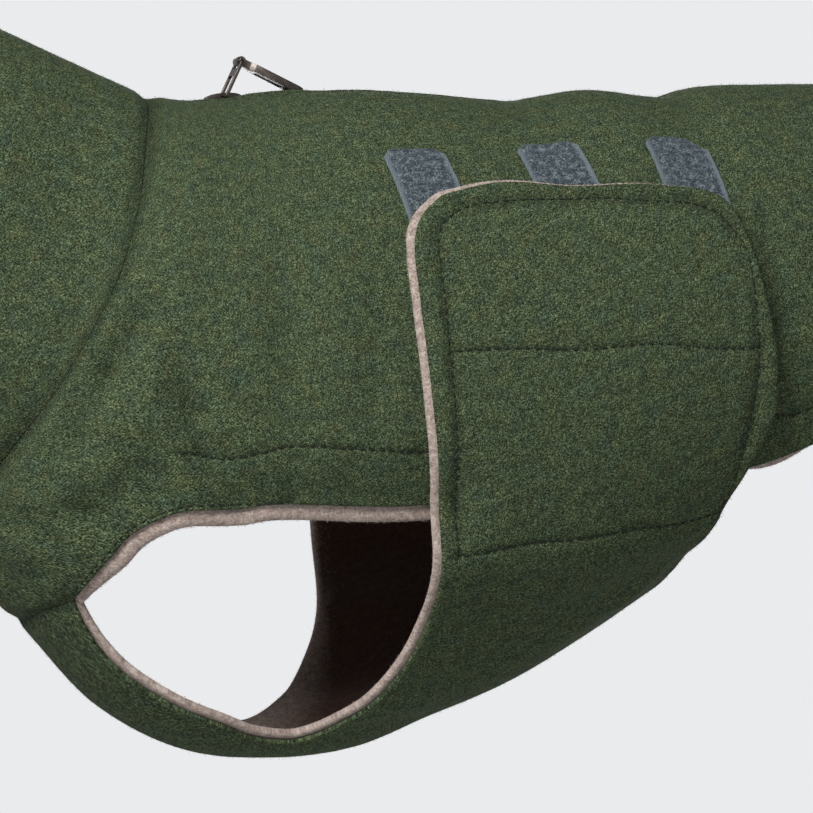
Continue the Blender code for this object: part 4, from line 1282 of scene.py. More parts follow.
# ------------------------ finishes
class Nodes:
    """Adds shader nodes to a node tree."""

    def __init__(self, tree: bpy.types.NodeTree) -> None:
        self.tree = tree

    def add(self, kind: str, inputs: dict | None = None, **settings: object) -> bpy.types.Node:
        """Adds a node; an input is a value or the output to link to it."""
        node = self.tree.nodes.new(kind)
        for name, value in settings.items():
            setattr(node, name, value)
        for name, value in (inputs or {}).items():
            if isinstance(value, Socket):
                self.tree.links.new(value, node.inputs[name])
            else:
                node.inputs[name].default_value = value
        return node

    def cloth_map(self) -> Socket:
        """The piece's own UV map, in metres of cloth."""
        return self.add("ShaderNodeUVMap", uv_map=UV_NAME).outputs["UV"]

    def object_map(self) -> Socket:
        """Object coordinates, in metres."""
        return self.add("ShaderNodeTexCoord").outputs["Object"]

    def attribute(self, name: str) -> Socket:
        """A number kept on the mesh."""
        return self.add("ShaderNodeAttribute", attribute_name=name).outputs["Fac"]

    def stretched(self, vector: Socket, turn: float, scale: Colour) -> Socket:
        """Coordinates turned by degrees, then stretched."""
        turned = self.add(
            "ShaderNodeMapping", {"Vector": vector, "Rotation": (0.0, 0.0, math.radians(turn))}
        )
        return self.add("ShaderNodeMapping", {"Vector": turned.outputs[0], "Scale": scale}).outputs[0]

    def noise(
        self, vector: Socket, scale: float, detail: float = 2.0, rough: float = 0.5
    ) -> Socket:
        """Noise from 0 to 1."""
        inputs = {"Vector": vector, "Scale": scale, "Detail": detail, "Roughness": rough}
        return self.add("ShaderNodeTexNoise", inputs).outputs[0]

    def maths(self, kind: str, one: Socket, two: Socket | float) -> Socket:
        """One sum on two numbers."""
        return self.add("ShaderNodeMath", {0: one, 1: two}, operation=kind).outputs[0]

    def blend(self, parts: Sequence[tuple[Socket, float]]) -> Socket:
        """Sum of numbers, each with its share."""
        total = self.maths("MULTIPLY", *parts[0])
        for value, share in parts[1:]:
            total = self.maths("ADD", total, self.maths("MULTIPLY", value, share))
        return total

    def wave(self, vector: Socket, scale: float, distortion: float, detail: float = 2.0) -> Socket:
        """Even bands from 0 to 1."""
        inputs = {"Vector": vector, "Scale": scale, "Distortion": distortion, "Detail": detail}
        return self.add("ShaderNodeTexWave", inputs).outputs["Fac"]

    def ramp(self, value: Socket, stops: Sequence[tuple[float, Colour]]) -> Socket:
        """Colours along a range."""
        node = self.add("ShaderNodeValToRGB", {0: value})
        elements = node.color_ramp.elements
        while len(elements) < len(stops):
            elements.new(0.5)
        for element, (place, colour) in zip(elements, stops):
            element.position = place
            element.color = (*colour, 1.0)
        return node.outputs[0]

    def mix(self, share: object, one: object, two: object, kind: str = "MIX") -> Socket:
        """Two colours mixed."""
        one, two = (end if isinstance(end, Socket) else (*end, 1.0) for end in (one, two))
        inputs = {0: share, 6: one, 7: two}
        return self.add("ShaderNodeMix", inputs, data_type="RGBA", blend_type=kind).outputs[2]

    def tinted(self, colour: Socket, *tints: Socket | Colour) -> Socket:
        """A colour multiplied by tints."""
        for tint in tints:
            colour = self.mix(1.0, colour, tint, "MULTIPLY")
        return colour

    def bump(self, height: Socket, strength: float, distance: float) -> Socket:
        """A normal that follows heights."""
        inputs = {"Height": height, "Strength": strength, "Distance": distance}
        return self.add("ShaderNodeBump", inputs).outputs[0]


class MaterialNodes(Nodes):
    """Shader nodes of one new material.

    Args:
        name: The material's name.
    """

    INPUTS = {
        "colour": "Base Color",
        "roughness": "Roughness",
        "specular": "Specular IOR Level",
        "sheen": "Sheen Weight",
        "sheen_roughness": "Sheen Roughness",
        "metallic": "Metallic",
        "normal": "Normal",
    }

    def __init__(self, name: str) -> None:
        self.material = bpy.data.materials.new(name)
        self.material.use_nodes = True
        super().__init__(self.material.node_tree)
        self.tree.nodes.clear()

    def finish(self, colour: Socket, roughness: float, **more: Socket | float) -> Material:
        """Ends in one shader.

        Args:
            colour: Its base colour.
            roughness: How matt it is.
            more: Its other inputs, by their names in INPUTS.

        Returns:
            The material.
        """
        inputs = {"colour": colour, "roughness": roughness, **more}
        named = {self.INPUTS[name]: value for name, value in inputs.items()}
        shader = self.add("ShaderNodeBsdfPrincipled", named)
        self.add("ShaderNodeOutputMaterial", {"Surface": shader.outputs[0]})
        return self.material


@dataclass(frozen=True)
class WoolFinish:
    """Felted wool of mixed fibres: dark ground, green fibres and light tips, with shade painted into the
    sewn grooves.
    """

    name: str = "felted_wool"
    dark: Colour = (0.0055, 0.0092, 0.004)
    ground: Colour = (0.032, 0.045, 0.0222)
    light: Colour = (0.113, 0.15, 0.087)
    # painted shade: the tint at the bottom of the deepest sewn grooves
    sewn: Colour = (0.42, 0.42, 0.42)

    TINTS = (
        (0.33, (0.84, 0.95, 1.06)), (0.47, (0.99, 1.0, 0.98)),
        (0.55, (1.0, 1.01, 0.95)), (0.68, (1.2, 1.05, 0.94)),
    )
    SHADES = ((0.34, (0.74, 0.74, 0.77)), (0.66, (1.27, 1.26, 1.22)))

    def make(self) -> Material:
        """Makes the material."""
        nodes = MaterialNodes(self.name)
        cloth = nodes.cloth_map()
        grain = nodes.noise(cloth, 2100.0, 1.0, 0.6)
        coarse = nodes.noise(cloth, 800.0, 2.0, 0.6)
        steep = nodes.noise(nodes.stretched(cloth, 61.0, (650.0, 2600.0, 1.0)), 1.0, 1.0, 0.5)
        flat = nodes.noise(nodes.stretched(cloth, -33.0, (700.0, 2800.0, 1.0)), 1.0, 1.0, 0.5)
        mixed = nodes.blend(((grain, 0.42), (coarse, 0.14), (steep, 0.22), (flat, 0.22)))
        colour = nodes.ramp(mixed, ((0.4, self.dark), (0.5, self.ground), (0.61, self.light)))
        patches = nodes.noise(cloth, 150.0, 3.0, 0.65)
        tint = nodes.ramp(patches, self.TINTS)
        soft = nodes.noise(cloth, 260.0, 3.0, 0.6)
        # painted shade: the wool darkens with the depth of the grooves that sewing draws in
        sunk = nodes.mix(nodes.attribute("sewn"), (1.0, 1.0, 1.0), self.sewn)
        colour = nodes.tinted(colour, tint, nodes.ramp(soft, self.SHADES), sunk)
        normal = nodes.bump(nodes.blend(((mixed, 1.0), (soft, 0.4))), 0.7, 0.6 * MM)
        return nodes.finish(colour, 0.95, specular=0.12, normal=normal)


@dataclass(frozen=True)
class FibreFinish:
    """Loose fibres, each of its own shade."""

    name: str
    dark: Colour
    middle: Colour
    light: Colour
    sheen: float = 0.2

    def make(self) -> Material:
        """Makes the material."""
        nodes = MaterialNodes(self.name)
        shade = nodes.attribute("shade")
        colour = nodes.ramp(shade, ((0.0, self.dark), (0.55, self.middle), (1.0, self.light)))
        return nodes.finish(colour, 0.85, specular=0.2, sheen=self.sheen)


@dataclass(frozen=True)
class FleeceFinish:
    """Taupe microfleece, with shade painted onto its inner face inside the coat where little light reaches
    it.
    """

    name: str = "taupe_fleece"
    dark: Colour = (0.15, 0.112, 0.095)
    middle: Colour = (0.29, 0.232, 0.203)
    light: Colour = (0.43, 0.365, 0.33)
    # painted shade: the tint that darkens the inner face inside the coat
    inside: Colour = (0.19, 0.12, 0.095)

    def make(self) -> Material:
        """Makes the material."""
        nodes = MaterialNodes(self.name)
        cloth = nodes.cloth_map()
        pile = nodes.noise(cloth, 1300.0, 3.0, 0.65)
        clumps = nodes.noise(cloth, 420.0, 3.0, 0.6)
        mixed = nodes.blend(((pile, 0.55), (clumps, 0.45)))
        colour = nodes.ramp(mixed, ((0.36, self.dark), (0.5, self.middle), (0.64, self.light)))
        # painted shade: the inner attribute tints the inner face darker
        deep = nodes.attribute("inner")
        colour = nodes.mix(deep, colour, nodes.tinted(colour, self.inside))
        normal = nodes.bump(mixed, 0.8, 0.7 * MM)
        return nodes.finish(colour, 1.0, specular=0.1, sheen=0.15, normal=normal)


@dataclass(frozen=True)
class LoopFinish:
    """Grey-blue loop tape with a smoother woven edge."""

    name: str = "loop_tape"
    dark: Colour = (0.01, 0.015, 0.019)
    middle: Colour = (0.036, 0.049, 0.059)
    light: Colour = (0.16, 0.19, 0.205)
    woven: Colour = (0.11, 0.14, 0.158)

    def make(self) -> Material:
        """Makes the material."""
        nodes = MaterialNodes(self.name)
        cloth = nodes.cloth_map()
        loops = nodes.noise(cloth, 1500.0, 3.0, 0.7)
        clumps = nodes.noise(cloth, 480.0, 2.0, 0.5)
        mixed = nodes.blend(((loops, 0.65), (clumps, 0.35)))
        field_colour = nodes.ramp(mixed, ((0.37, self.dark), (0.5, self.middle), (0.64, self.light)))
        threads = nodes.wave(cloth, 520.0, 0.6)
        woven = nodes.mix(nodes.maths("MULTIPLY", threads, 0.35), self.woven, self.dark)
        colour = nodes.mix(nodes.attribute("selvedge"), field_colour, woven)
        normal = nodes.bump(mixed, 0.7, 0.5 * MM)
        return nodes.finish(colour, 0.9, specular=0.2, sheen=0.12, sheen_roughness=0.4, normal=normal)


@dataclass(frozen=True)
class WovenFinish:
    """Plain woven polyester or sewing thread, with fine rows across it."""

    name: str
    dark: Colour
    light: Colour
    rows: float

    def make(self) -> Material:
        """Makes the material."""
        nodes = MaterialNodes(self.name)
        spot = nodes.object_map()
        threads = nodes.wave(spot, self.rows, 1.0, 1.0)
        grain = nodes.noise(spot, 1800.0)
        mixed = nodes.blend(((threads, 0.6), (grain, 0.4)))
        colour = nodes.ramp(mixed, ((0.25, self.dark), (0.75, self.light)))
        return nodes.finish(colour, 0.8, specular=0.3, normal=nodes.bump(mixed, 0.5, 0.2 * MM))


@dataclass(frozen=True)
class MetalFinish:
    """Dark gunmetal plating, brushed slantwise and worn lighter in places."""

    name: str = "brushed_gunmetal"
    dark: Colour = (0.04, 0.035, 0.031)
    light: Colour = (0.15, 0.132, 0.118)
    roughness: float = 0.42

    def make(self) -> Material:
        """Makes the material."""
        nodes = MaterialNodes(self.name)
        spot = nodes.object_map()
        slant = (0.0, math.radians(35), 0.0)
        turned = nodes.add("ShaderNodeMapping", {"Vector": spot, "Rotation": slant}).outputs[0]
        brushed = nodes.add("ShaderNodeMapping", {"Vector": turned, "Scale": (6000.0, 900.0, 500.0)})
        lines = nodes.noise(brushed.outputs[0], 1.0, 3.0, 0.6)
        mixed = nodes.blend(((lines, 0.6), (nodes.noise(spot, 260.0), 0.4)))
        colour = nodes.ramp(mixed, ((0.35, self.dark), (0.68, self.light)))
        normal = nodes.bump(lines, 0.15, 0.05 * MM)
        return nodes.finish(colour, self.roughness, metallic=1.0, normal=normal)


@dataclass(frozen=True)
class TeethFinish:
    """Nylon coil with a soft shine."""

    name: str = "nylon_coil"
    dark: Colour = (0.01, 0.015, 0.011)
    light: Colour = (0.03, 0.04, 0.029)

    def make(self) -> Material:
        """Makes the material."""
        nodes = MaterialNodes(self.name)
        grain = nodes.noise(nodes.object_map(), 700.0)
        colour = nodes.ramp(grain, ((0.35, self.dark), (0.65, self.light)))
        return nodes.finish(colour, 0.42, normal=nodes.bump(grain, 0.1, 0.1 * MM))


@dataclass(frozen=True)
class FloorFinish:
    """Plain pale floor with a faint, wide mottle."""

    name: str = "pale_floor"
    low: Colour = (0.49, 0.495, 0.505)
    high: Colour = (0.51, 0.515, 0.525)

    def make(self) -> Material:
        """Makes the material."""
        nodes = MaterialNodes(self.name)
        mottle = nodes.noise(nodes.object_map(), 2.0)
        return nodes.finish(nodes.ramp(mottle, ((0.3, self.low), (0.7, self.high))), 0.9)


# ------------------------ the coat's cloth
@dataclass
class Cloth:
    """All wool and fleece pieces, with their sewing.

    A draw is the depth and the width of a groove that sewing makes, or of a ridge.
    """

    pattern: Pattern
    wool: Material
    fleece: Material
    wool_radius: float = 0.75 * MM
    fleece_radius: float = 1.3 * MM
    wool_spacing: float = 2.3 * MM
    fleece_spacing: float = 3.2 * MM
    lining_rounding: float = 1.2 * MM
    zip_stitch: float = 8.2 * MM
    zip_edge: float = 6.0 * MM
    leg_stitch: float = 1.6 * MM
    collar_hem: float = 6.0 * MM
    back_seam_turn: float = 0.1
    stitch_step: float = 1.0 * MM
    puff_inside: float = -2.6 * MM
    pieces: dict[str, ClothPiece] = field(default_factory=dict)

    SEAM_DRAW = (1.15 * MM, 2.9 * MM)
    BACK_SEAM_DRAW = (0.5 * MM, 1.6 * MM)
    STITCH_DRAW = (0.6 * MM, 0.8 * MM)
    LEG_STITCH_DRAW = (0.55 * MM, 0.8 * MM)
    EDGE_STITCH_DRAW = (0.95 * MM, 1.9 * MM)
    ZIP_EDGE_DRAW = (-0.35 * MM, 1.6 * MM)
    PULL_DRAW, PULL_STATIONS = (-1.0 * MM, 6.0 * MM), (0.014, 0.032)
    RIM_DRAW, RIM_SHARE = (-0.9 * MM, 1.2 * MM), 0.45
    PUFF_WIDTH = 2.2 * MM
    FLAP_LINES = (
        ("flap_edge", FLAP_STITCH),
        ("flap_cross", FLAP_CROSS_STITCH),
        ("flap_low", FLAP_LOW_STITCH),
    )

    def line(self, points: Array) -> Array:
        """Sewing line with fine steps."""
        return spaced(self.pattern.form, smooth_line(points), self.stitch_step)

    def inside(self, line: Array, distance: float) -> Array:
        """Line at a distance beside another."""
        return beside(self.pattern.form, self.line(line), distance)

    def zip_line(self, start: float, end: float, distance: float) -> Array:
        """Line beside the zip, from one station to another."""
        return self.pattern.by_back_line(self.pattern.ahead(start, end), distance)

    def zip_seam(self) -> Array:
        """Sewing line beside the zip."""
        p = self.pattern
        return self.zip_line(p.zip_start + 1.0 * MM, p.zip_end - 1.0 * MM, self.zip_stitch)

    def leg_seam(self) -> Array:
        """Sewing line round the leg hole."""
        return self.inside(LEG_HOLE[:-1], self.leg_stitch)

    def add(
        self,
        names: tuple[str, str],
        nets: tuple[ClothNet, ClothNet],
        side: Side = Side.LEFT,
        **hang: Callable[[Array], Array],
    ) -> None:
        """Builds a lining and the wool over it.

        Args:
            names: The lining's name and the wool's.
            nets: Their nets, in the same order.
            side: The side that both are on.
            hang: How both rise and shift, as for ClothPiece.
        """
        p = self.pattern
        faces = ((p.lining_top, p.lining_under, self.fleece_radius), (0.0, -p.wool, self.wool_radius))
        finishes = ((Slot.FLEECE, self.fleece), (Slot.WOOL, self.wool))
        for name, net, lifts, finish in zip(names, nets, faces, finishes):
            self.pieces[name] = put_in_place(ClothPiece(name, net, *lifts, side, **hang), *finish)
            log.info("cloth %s: %d faces", name, len(self.pieces[name].faces))

    def add_sides(self, name: str, nets: tuple[ClothNet, ClothNet]) -> None:
        """Builds a lining and its wool on the left, and then on the right."""
        for side in Side:
            self.add((f"{name}_lining_{side.label}", f"{name}_{side.label}"), nets, side)

    def build_back(self) -> None:
        """Both back panels and their linings."""
        p = self.pattern
        back_line = places_of(p.ahead(p.neck, p.tail_edge), self.back_seam_turn)
        grooves = [
            Groove(p.neck_run(), *self.SEAM_DRAW),
            Groove(p.line(STRAP_SEAM), *self.SEAM_DRAW),
            Groove(self.line(HEM_STITCH), *self.STITCH_DRAW),
            Groove(self.zip_seam(), *self.STITCH_DRAW),
            Groove(self.zip_line(p.zip_start, p.zip_end, self.zip_edge), *self.ZIP_EDGE_DRAW),
            Groove(self.zip_line(*self.PULL_STATIONS, self.zip_edge), *self.PULL_DRAW),
            Groove(back_line, *self.BACK_SEAM_DRAW),
            Groove(self.leg_seam(), *self.LEG_STITCH_DRAW),
        ]
        cut = p.back(p.zip_wool_gap, (0.0, p.hem_drop, 0.0), None)
        net = ClothNet(p.form, cut, self.wool_spacing, grooves)
        rims = (p.rim_leg_hole, p.rim_hem, p.hem_roll)
        cut = p.back(p.zip_tape_outer + p.gap, rims, p.rim_corner())
        roll = Groove(self.inside(LEG_HOLE[1:], -self.RIM_SHARE * p.rim_leg_hole), *self.RIM_DRAW)
        lining_net = ClothNet(p.form, cut, self.fleece_spacing, [roll], rounding=self.lining_rounding)
        self.add_sides("back", (lining_net, net))

    def build_collar(self) -> None:
        """Both collar halves and their linings."""
        p = self.pattern
        end = places_of(p.collar_end + self.collar_hem, np.linspace(1.0, BELLY - 1.0, 60))
        hem = spaced(p.form, end, self.stitch_step)
        grooves = [Groove(p.neck_run(), *self.SEAM_DRAW), Groove(hem, *self.STITCH_DRAW)]
        net = ClothNet(p.form, p.collar(0.0), self.wool_spacing, grooves)
        cut = p.collar(p.rim_collar)
        lining_net = ClothNet(p.form, cut, self.fleece_spacing, rounding=self.lining_rounding)
        self.add_sides("collar", (lining_net, net))

    def build_belly(self) -> None:
        """The belly panel with its two flaps, and its lining."""
        p = self.pattern
        edge, cross, low = (self.line(points) for _, points in self.FLAP_LINES)
        grooves = [Groove(edge, *self.EDGE_STITCH_DRAW)]
        grooves += [Groove(cross, *self.STITCH_DRAW), Groove(low, *self.STITCH_DRAW)]
        grooves += [Groove(p.line(STRAP_SEAM), *self.SEAM_DRAW)]
        grooves += [Groove(mirrored(groove.line), groove.depth, groove.width) for groove in grooves]
        for points, height in PUFFED:
            puffed = self.inside(points, self.puff_inside)
            grooves += [Groove(line, -height, self.PUFF_WIDTH) for line in (puffed, mirrored(puffed))]
        net = ClothNet(p.form, p.belly((0.0, 0.0, 0.0), None), self.wool_spacing, grooves, True)
        cut = p.belly((p.rim_strap, p.rim_flap_front, p.rim_flap_top), p.rim_corner())
        lining_net = ClothNet(p.form, cut, self.fleece_spacing, (), True, self.lining_rounding)
        names = ("belly_lining", "belly_panel")
        self.add(names, (lining_net, net), rise=p.flap_rise, shift=p.right_shift)

    def sew(self, thread: Material) -> dict[str, list[Object]]:
        """Makes the stitches.

        Args:
            thread: Their finish.

        Returns:
            The stitches on each piece, by the piece's name.
        """
        sewn: dict[str, list[Object]] = {}
        on_back = (
            SewnLine("hem", self.line(HEM_STITCH)),
            SewnLine("leg_hole", self.leg_seam()),
            SewnLine("zip", self.zip_seam(), 2.6 * MM, 1.9 * MM),
        )
        for side in Side:
            name = f"back_{side.label}"
            sewn[name] = [line.sew(self.pieces[name], side.label, thread) for line in on_back]
        belly = self.pieces["belly_panel"]
        sewn["belly_panel"] = []
        for name, points in self.FLAP_LINES:
            line = self.line(points)
            sewn["belly_panel"].append(SewnLine(name, line).sew(belly, "left", thread))
            sewn["belly_panel"].append(SewnLine(name, mirrored(line)).sew(belly, "right", thread))
        return sewn


# ------------------------ tapes
@dataclass(frozen=True)
class Tapes:
    """Loop tapes for the flaps, and the zip's tapes."""

    pattern: Pattern
    loop_spacing: float = 1.1 * MM
    zip_spacing: float = 2.0 * MM
    selvedge: float = 1.7 * MM
    radius: float = 0.3 * MM
    rounding: float = 0.35 * MM
    roughness: float = 0.13 * MM

    SELVEDGE_DRAW = (0.25 * MM, 0.6 * MM)

    def build_loops(self, material: Material) -> list[ClothPiece]:
        """The six loop tapes."""
        p = self.pattern
        made = []
        for number, tape in enumerate(LOOP_TAPES, start=1):
            edges = p.loop_selvedges(tape, self.selvedge)
            grooves = [Groove(line, *self.SELVEDGE_DRAW) for line in edges]
            net = ClothNet(p.form, p.loop(tape), self.loop_spacing, grooves, rounding=self.rounding)
            outer_lines = [near_line(p.form, line) for line in p.loop_selvedges(tape, 0.0)]
            points = p.form.point(net.places)
            reach = np.min([near.distance(points) for near in outer_lines], axis=0)
            woven = 1.0 - smoothstep(self.selvedge - 0.5 * MM, self.selvedge + 0.2 * MM, reach)
            for side in Side:
                name = f"loop_tape_{side.label}_{number}"
                faces = (p.gap + p.loop_sheet, p.gap, self.radius)
                piece = ClothPiece(name, net, *faces, side, roughness=self.roughness)
                made.append(put_in_place(piece, Slot.LOOP, material))
                set_attribute(piece.obj, "selvedge", np.tile(woven, 2))
        log.info("loop tapes: %d", len(made))
        return made

    def build_zip(self, material: Material) -> list[ClothPiece]:
        """The two zip tapes."""
        p = self.pattern
        net = ClothNet(p.form, p.zip_tape(), self.zip_spacing, rounding=self.rounding)
        faces = (p.lining_top, p.lining_top - p.zip_tape_sheet, self.radius)
        made = []
        for side in Side:
            piece = ClothPiece(f"zip_tape_{side.label}", net, *faces, side, roughness=0.0)
            made.append(put_in_place(piece, Slot.ZIP_TAPE, material))
        log.info("zip tapes: %d", len(made))
        return made


# ------------------------ zip hardware
def in_mm(*pairs: Pair) -> Plan:
    """A plan given in millimetres."""
    return tuple((x * MM, y * MM) for x, y in pairs)


def deselect() -> None:
    """Leaves nothing selected."""
    bpy.ops.object.select_all(action="DESELECT")


def alone(obj: Object) -> None:
    """Makes an object the only selected one, and the active one."""
    deselect()
    obj.select_set(True)
    bpy.context.view_layer.objects.active = obj


def apply_modifier(obj: Object, kind: str, **settings: object) -> None:
    """Adds a modifier and applies it."""
    alone(obj)
    modifier = obj.modifiers.new(kind.title(), kind)
    for name, value in settings.items():
        setattr(modifier, name, value)
    bpy.ops.object.modifier_apply(modifier=modifier.name)


def soften(obj: Object, width: float) -> None:
    """Rounds the sharp edges."""
    sharp, smooth = math.radians(35), math.radians(40)
    apply_modifier(obj, "BEVEL", width=width, segments=3, limit_method="ANGLE", angle_limit=sharp)
    bpy.ops.object.shade_smooth_by_angle(angle=smooth)


def cut_away(obj: Object, tool: Object) -> None:
    """Takes a tool's shape away from an object."""
    apply_modifier(obj, "BOOLEAN", operation="DIFFERENCE", object=tool)
    bpy.data.objects.remove(tool)


def joined(name: str, parts: Sequence[Object]) -> Object:
    """Joins parts into one object."""
    alone(parts[0])
    for part in parts[1:]:
        part.select_set(True)
    bpy.ops.object.join()
    parts[0].name = name
    return parts[0]


def plate(plan: Plan, low: float, thickness: float) -> Object:
    """Flat part cut to a plan in X and Y, and drawn up from a height by its thickness."""
    deselect()
    bpy.ops.mesh.primitive_circle_add(vertices=len(plan), radius=1.0, fill_type="NGON")
    part = bpy.context.object
    for vertex, (x, y) in zip(part.data.vertices, plan):
        vertex.co = (x, y, low)
    bpy.ops.object.mode_set(mode="EDIT")
    bpy.ops.mesh.select_all(action="SELECT")
    bpy.ops.mesh.extrude_region_move(TRANSFORM_OT_translate={"value": (0.0, 0.0, thickness)})
    bpy.ops.mesh.select_all(action="SELECT")
    bpy.ops.mesh.normals_make_consistent(inside=False)
    bpy.ops.object.mode_set(mode="OBJECT")
    return part


def rod(radius: float, half: float, place: Point = (0.0, 0.0, 0.0)) -> Object:
    """Round bar along Y."""
    deselect()
    across = (math.radians(90), 0.0, 0.0)
    bpy.ops.mesh.primitive_cylinder_add(
        vertices=28, radius=radius, depth=2 * half, location=place, rotation=across
    )
    bpy.ops.object.transform_apply(location=True, rotation=True, scale=True)
    return bpy.context.object


def both_sides(half_plan: Plan) -> list[Pair]:
    """A plan from its left half, front to rear."""
    return [*half_plan, *((x, -y) for x, y in reversed(half_plan))]


def rounded(low: float, high: float, half: float, corner: float) -> list[Pair]:
    """Plan of a rectangle with round corners."""
    plan = []
    centres = ((high, half, 0), (low, half, 90), (low, -half, 180), (high, -half, 270))
    for x, y, start in centres:
        middle = x - math.copysign(corner, x - low - 1e-9), y - math.copysign(corner, y)
        for step in range(5):
            angle = math.radians(start + 22.5 * step)
            plan.append((middle[0] + corner * math.cos(angle), middle[1] + corner * math.sin(angle)))
    return plan


def stood_up(part: Object) -> Object:
    """Turns a plan in X and Y to one in X and Z, with its thickness along Y."""
    part.data.transform(Matrix.Rotation(math.radians(90), 4, "X"))
    return part


@dataclass(frozen=True)
class Slider:
    """Zip slider: two plates joined by a post in front, side rails, and a bridge for the link."""

    top: float = -0.2 * MM
    plate: float = 1.0 * MM
    under: float = -3.5 * MM
    bridge_half: float = 1.9 * MM
    edge: float = 0.22 * MM
    rail_offset: float = 4.0 * MM
    rail_inset: float = 0.35 * MM
    rail_lean: float = 0.06
    rail_depth: float = 0.7 * MM
    rail_height: float = 0.9 * MM
    post_height: float = 2.8 * MM
    overlap: float = 0.3 * MM

    POST = (-6.2 * MM, -3.8 * MM, 1.2 * MM, 0.5 * MM)
    RAIL = (-4.6 * MM, 4.8 * MM, 0.32 * MM, 0.2 * MM)
    HALF_PLAN = in_mm(
        (-7.0, 1.7), (-6.7, 2.7), (-6.1, 3.6), (-5.2, 4.2),
        (-3.6, 4.4), (-0.6, 4.4), (2.4, 4.0), (5.2, 3.6),
        (6.3, 3.3), (6.8, 2.8), (7.0, 2.1),
    )
    BRIDGE = in_mm(
        (-6.6, -0.7), (-6.6, 0.2), (-6.3, 0.9), (-5.6, 1.5),
        (-4.4, 1.9), (-2.4, 2.2), (0.0, 2.3), (2.4, 2.2),
        (4.2, 1.9), (5.4, 1.5), (6.1, 0.9), (6.4, 0.2),
        (6.4, -0.7), (1.0, -0.7), (1.0, 1.0), (0.6, 1.4),
        (-0.6, 1.4), (-1.0, 1.0), (-1.0, -0.7),
    )

    def build(self) -> Object:
        """Makes the slider lying along X, its lifts along Z."""
        plan = both_sides(self.HALF_PLAN)
        upper = plate(plan, self.top - self.plate, self.plate)
        lower = plate(plan, self.under - self.plate, self.plate)
        post = plate(rounded(*self.POST), self.under - self.overlap, self.post_height)
        bridge = stood_up(plate(self.BRIDGE, -self.bridge_half, 2 * self.bridge_half))
        parts = [upper, lower, post, bridge]
        for side in Side:
            lean, out = self.rail_lean * side.value, side.value * self.rail_offset
            rail = [(x, y - side.value * self.rail_inset) for x, y in rounded(*self.RAIL)]
            rail = [(x, y + out - lean * (x - self.RAIL[0])) for x, y in rail]
            parts.append(plate(rail, self.top - self.plate - self.rail_depth, self.rail_height))
        for part in parts:
            soften(part, self.edge)
        return joined("slider", parts)


@dataclass(frozen=True)
class PullLink:
    """Flat ring that joins the slider's bridge to the tab, with a cross plate near its top."""

    length: float = 13.3 * MM
    half: float = 4.4 * MM
    bar: float = 1.1 * MM
    cross_low: float = 7.9 * MM
    cross_high: float = 10.6 * MM

    def build(self) -> Object:
        """Makes the link along X from its lower bar's axis."""
        reach, inner = self.bar / 2, self.half - self.bar
        ring = plate(rounded(-reach, self.length + reach, self.half, 1.3 * MM), -reach, self.bar)
        for low, high in ((reach, self.cross_low), (self.cross_high, self.length - reach)):
            corner = min(0.7 * MM, 0.45 * (high - low))
            cut_away(ring, plate(rounded(low, high, inner, corner), -self.bar, 2 * self.bar))
        soften(ring, 0.3 * MM)
        return ring


@dataclass(frozen=True)
class PullTab:
    """Flat tab with a rolled eye, a sunk face and a slot near its round end."""

    half: float = 3.7 * MM
    sheet: float = 2.4 * MM
    neck_half: float = 2.4 * MM
    eye: float = 1.7 * MM
    hole: float = 0.9 * MM
    sunk: float = 0.28 * MM
    pin: float = 0.62 * MM
    pin_half: float = 0.3 * MM
    pin_out: float = 0.15 * MM

    SLOT = (17.6 * MM, 19.4 * MM, 2.0 * MM, 0.8 * MM)
    POCKET = (6.2 * MM, 16.4 * MM, 2.6 * MM, 0.9 * MM)
    HALF_PLAN = in_mm(
        (0.4, 2.4), (3.2, 2.4), (3.9, 2.7), (4.5, 3.3),
        (5.2, 3.7), (20.6, 3.7), (21.8, 3.3), (22.6, 2.6),
        (23.1, 1.5), (23.2, 0.5),
    )

    def build(self) -> Object:
        """Makes the tab along X from its eye's axis."""
        body = plate(both_sides(self.HALF_PLAN), -self.sheet / 2, self.sheet)
        eye = rod(self.eye, self.neck_half)
        apply_modifier(body, "BOOLEAN", operation="UNION", object=eye)
        bpy.data.objects.remove(eye)
        cut_away(body, rod(self.hole, 2 * self.neck_half))
        cut_away(body, plate(rounded(*self.SLOT), -2 * MM, 4 * MM))
        for low in (self.sheet / 2 - self.sunk, -self.sheet / 2 - self.sheet + self.sunk):
            cut_away(body, plate(rounded(*self.POCKET), low, self.sheet))
        soften(body, 0.2 * MM)
        pins = []
        for side in Side:
            place = (0.0, side.value * (self.neck_half + self.pin_out), 0.0)
            pins.append(rod(self.pin, self.pin_half, place))
        for pin in pins:
            soften(pin, 0.15 * MM)
        return joined("tab", [body, *pins])


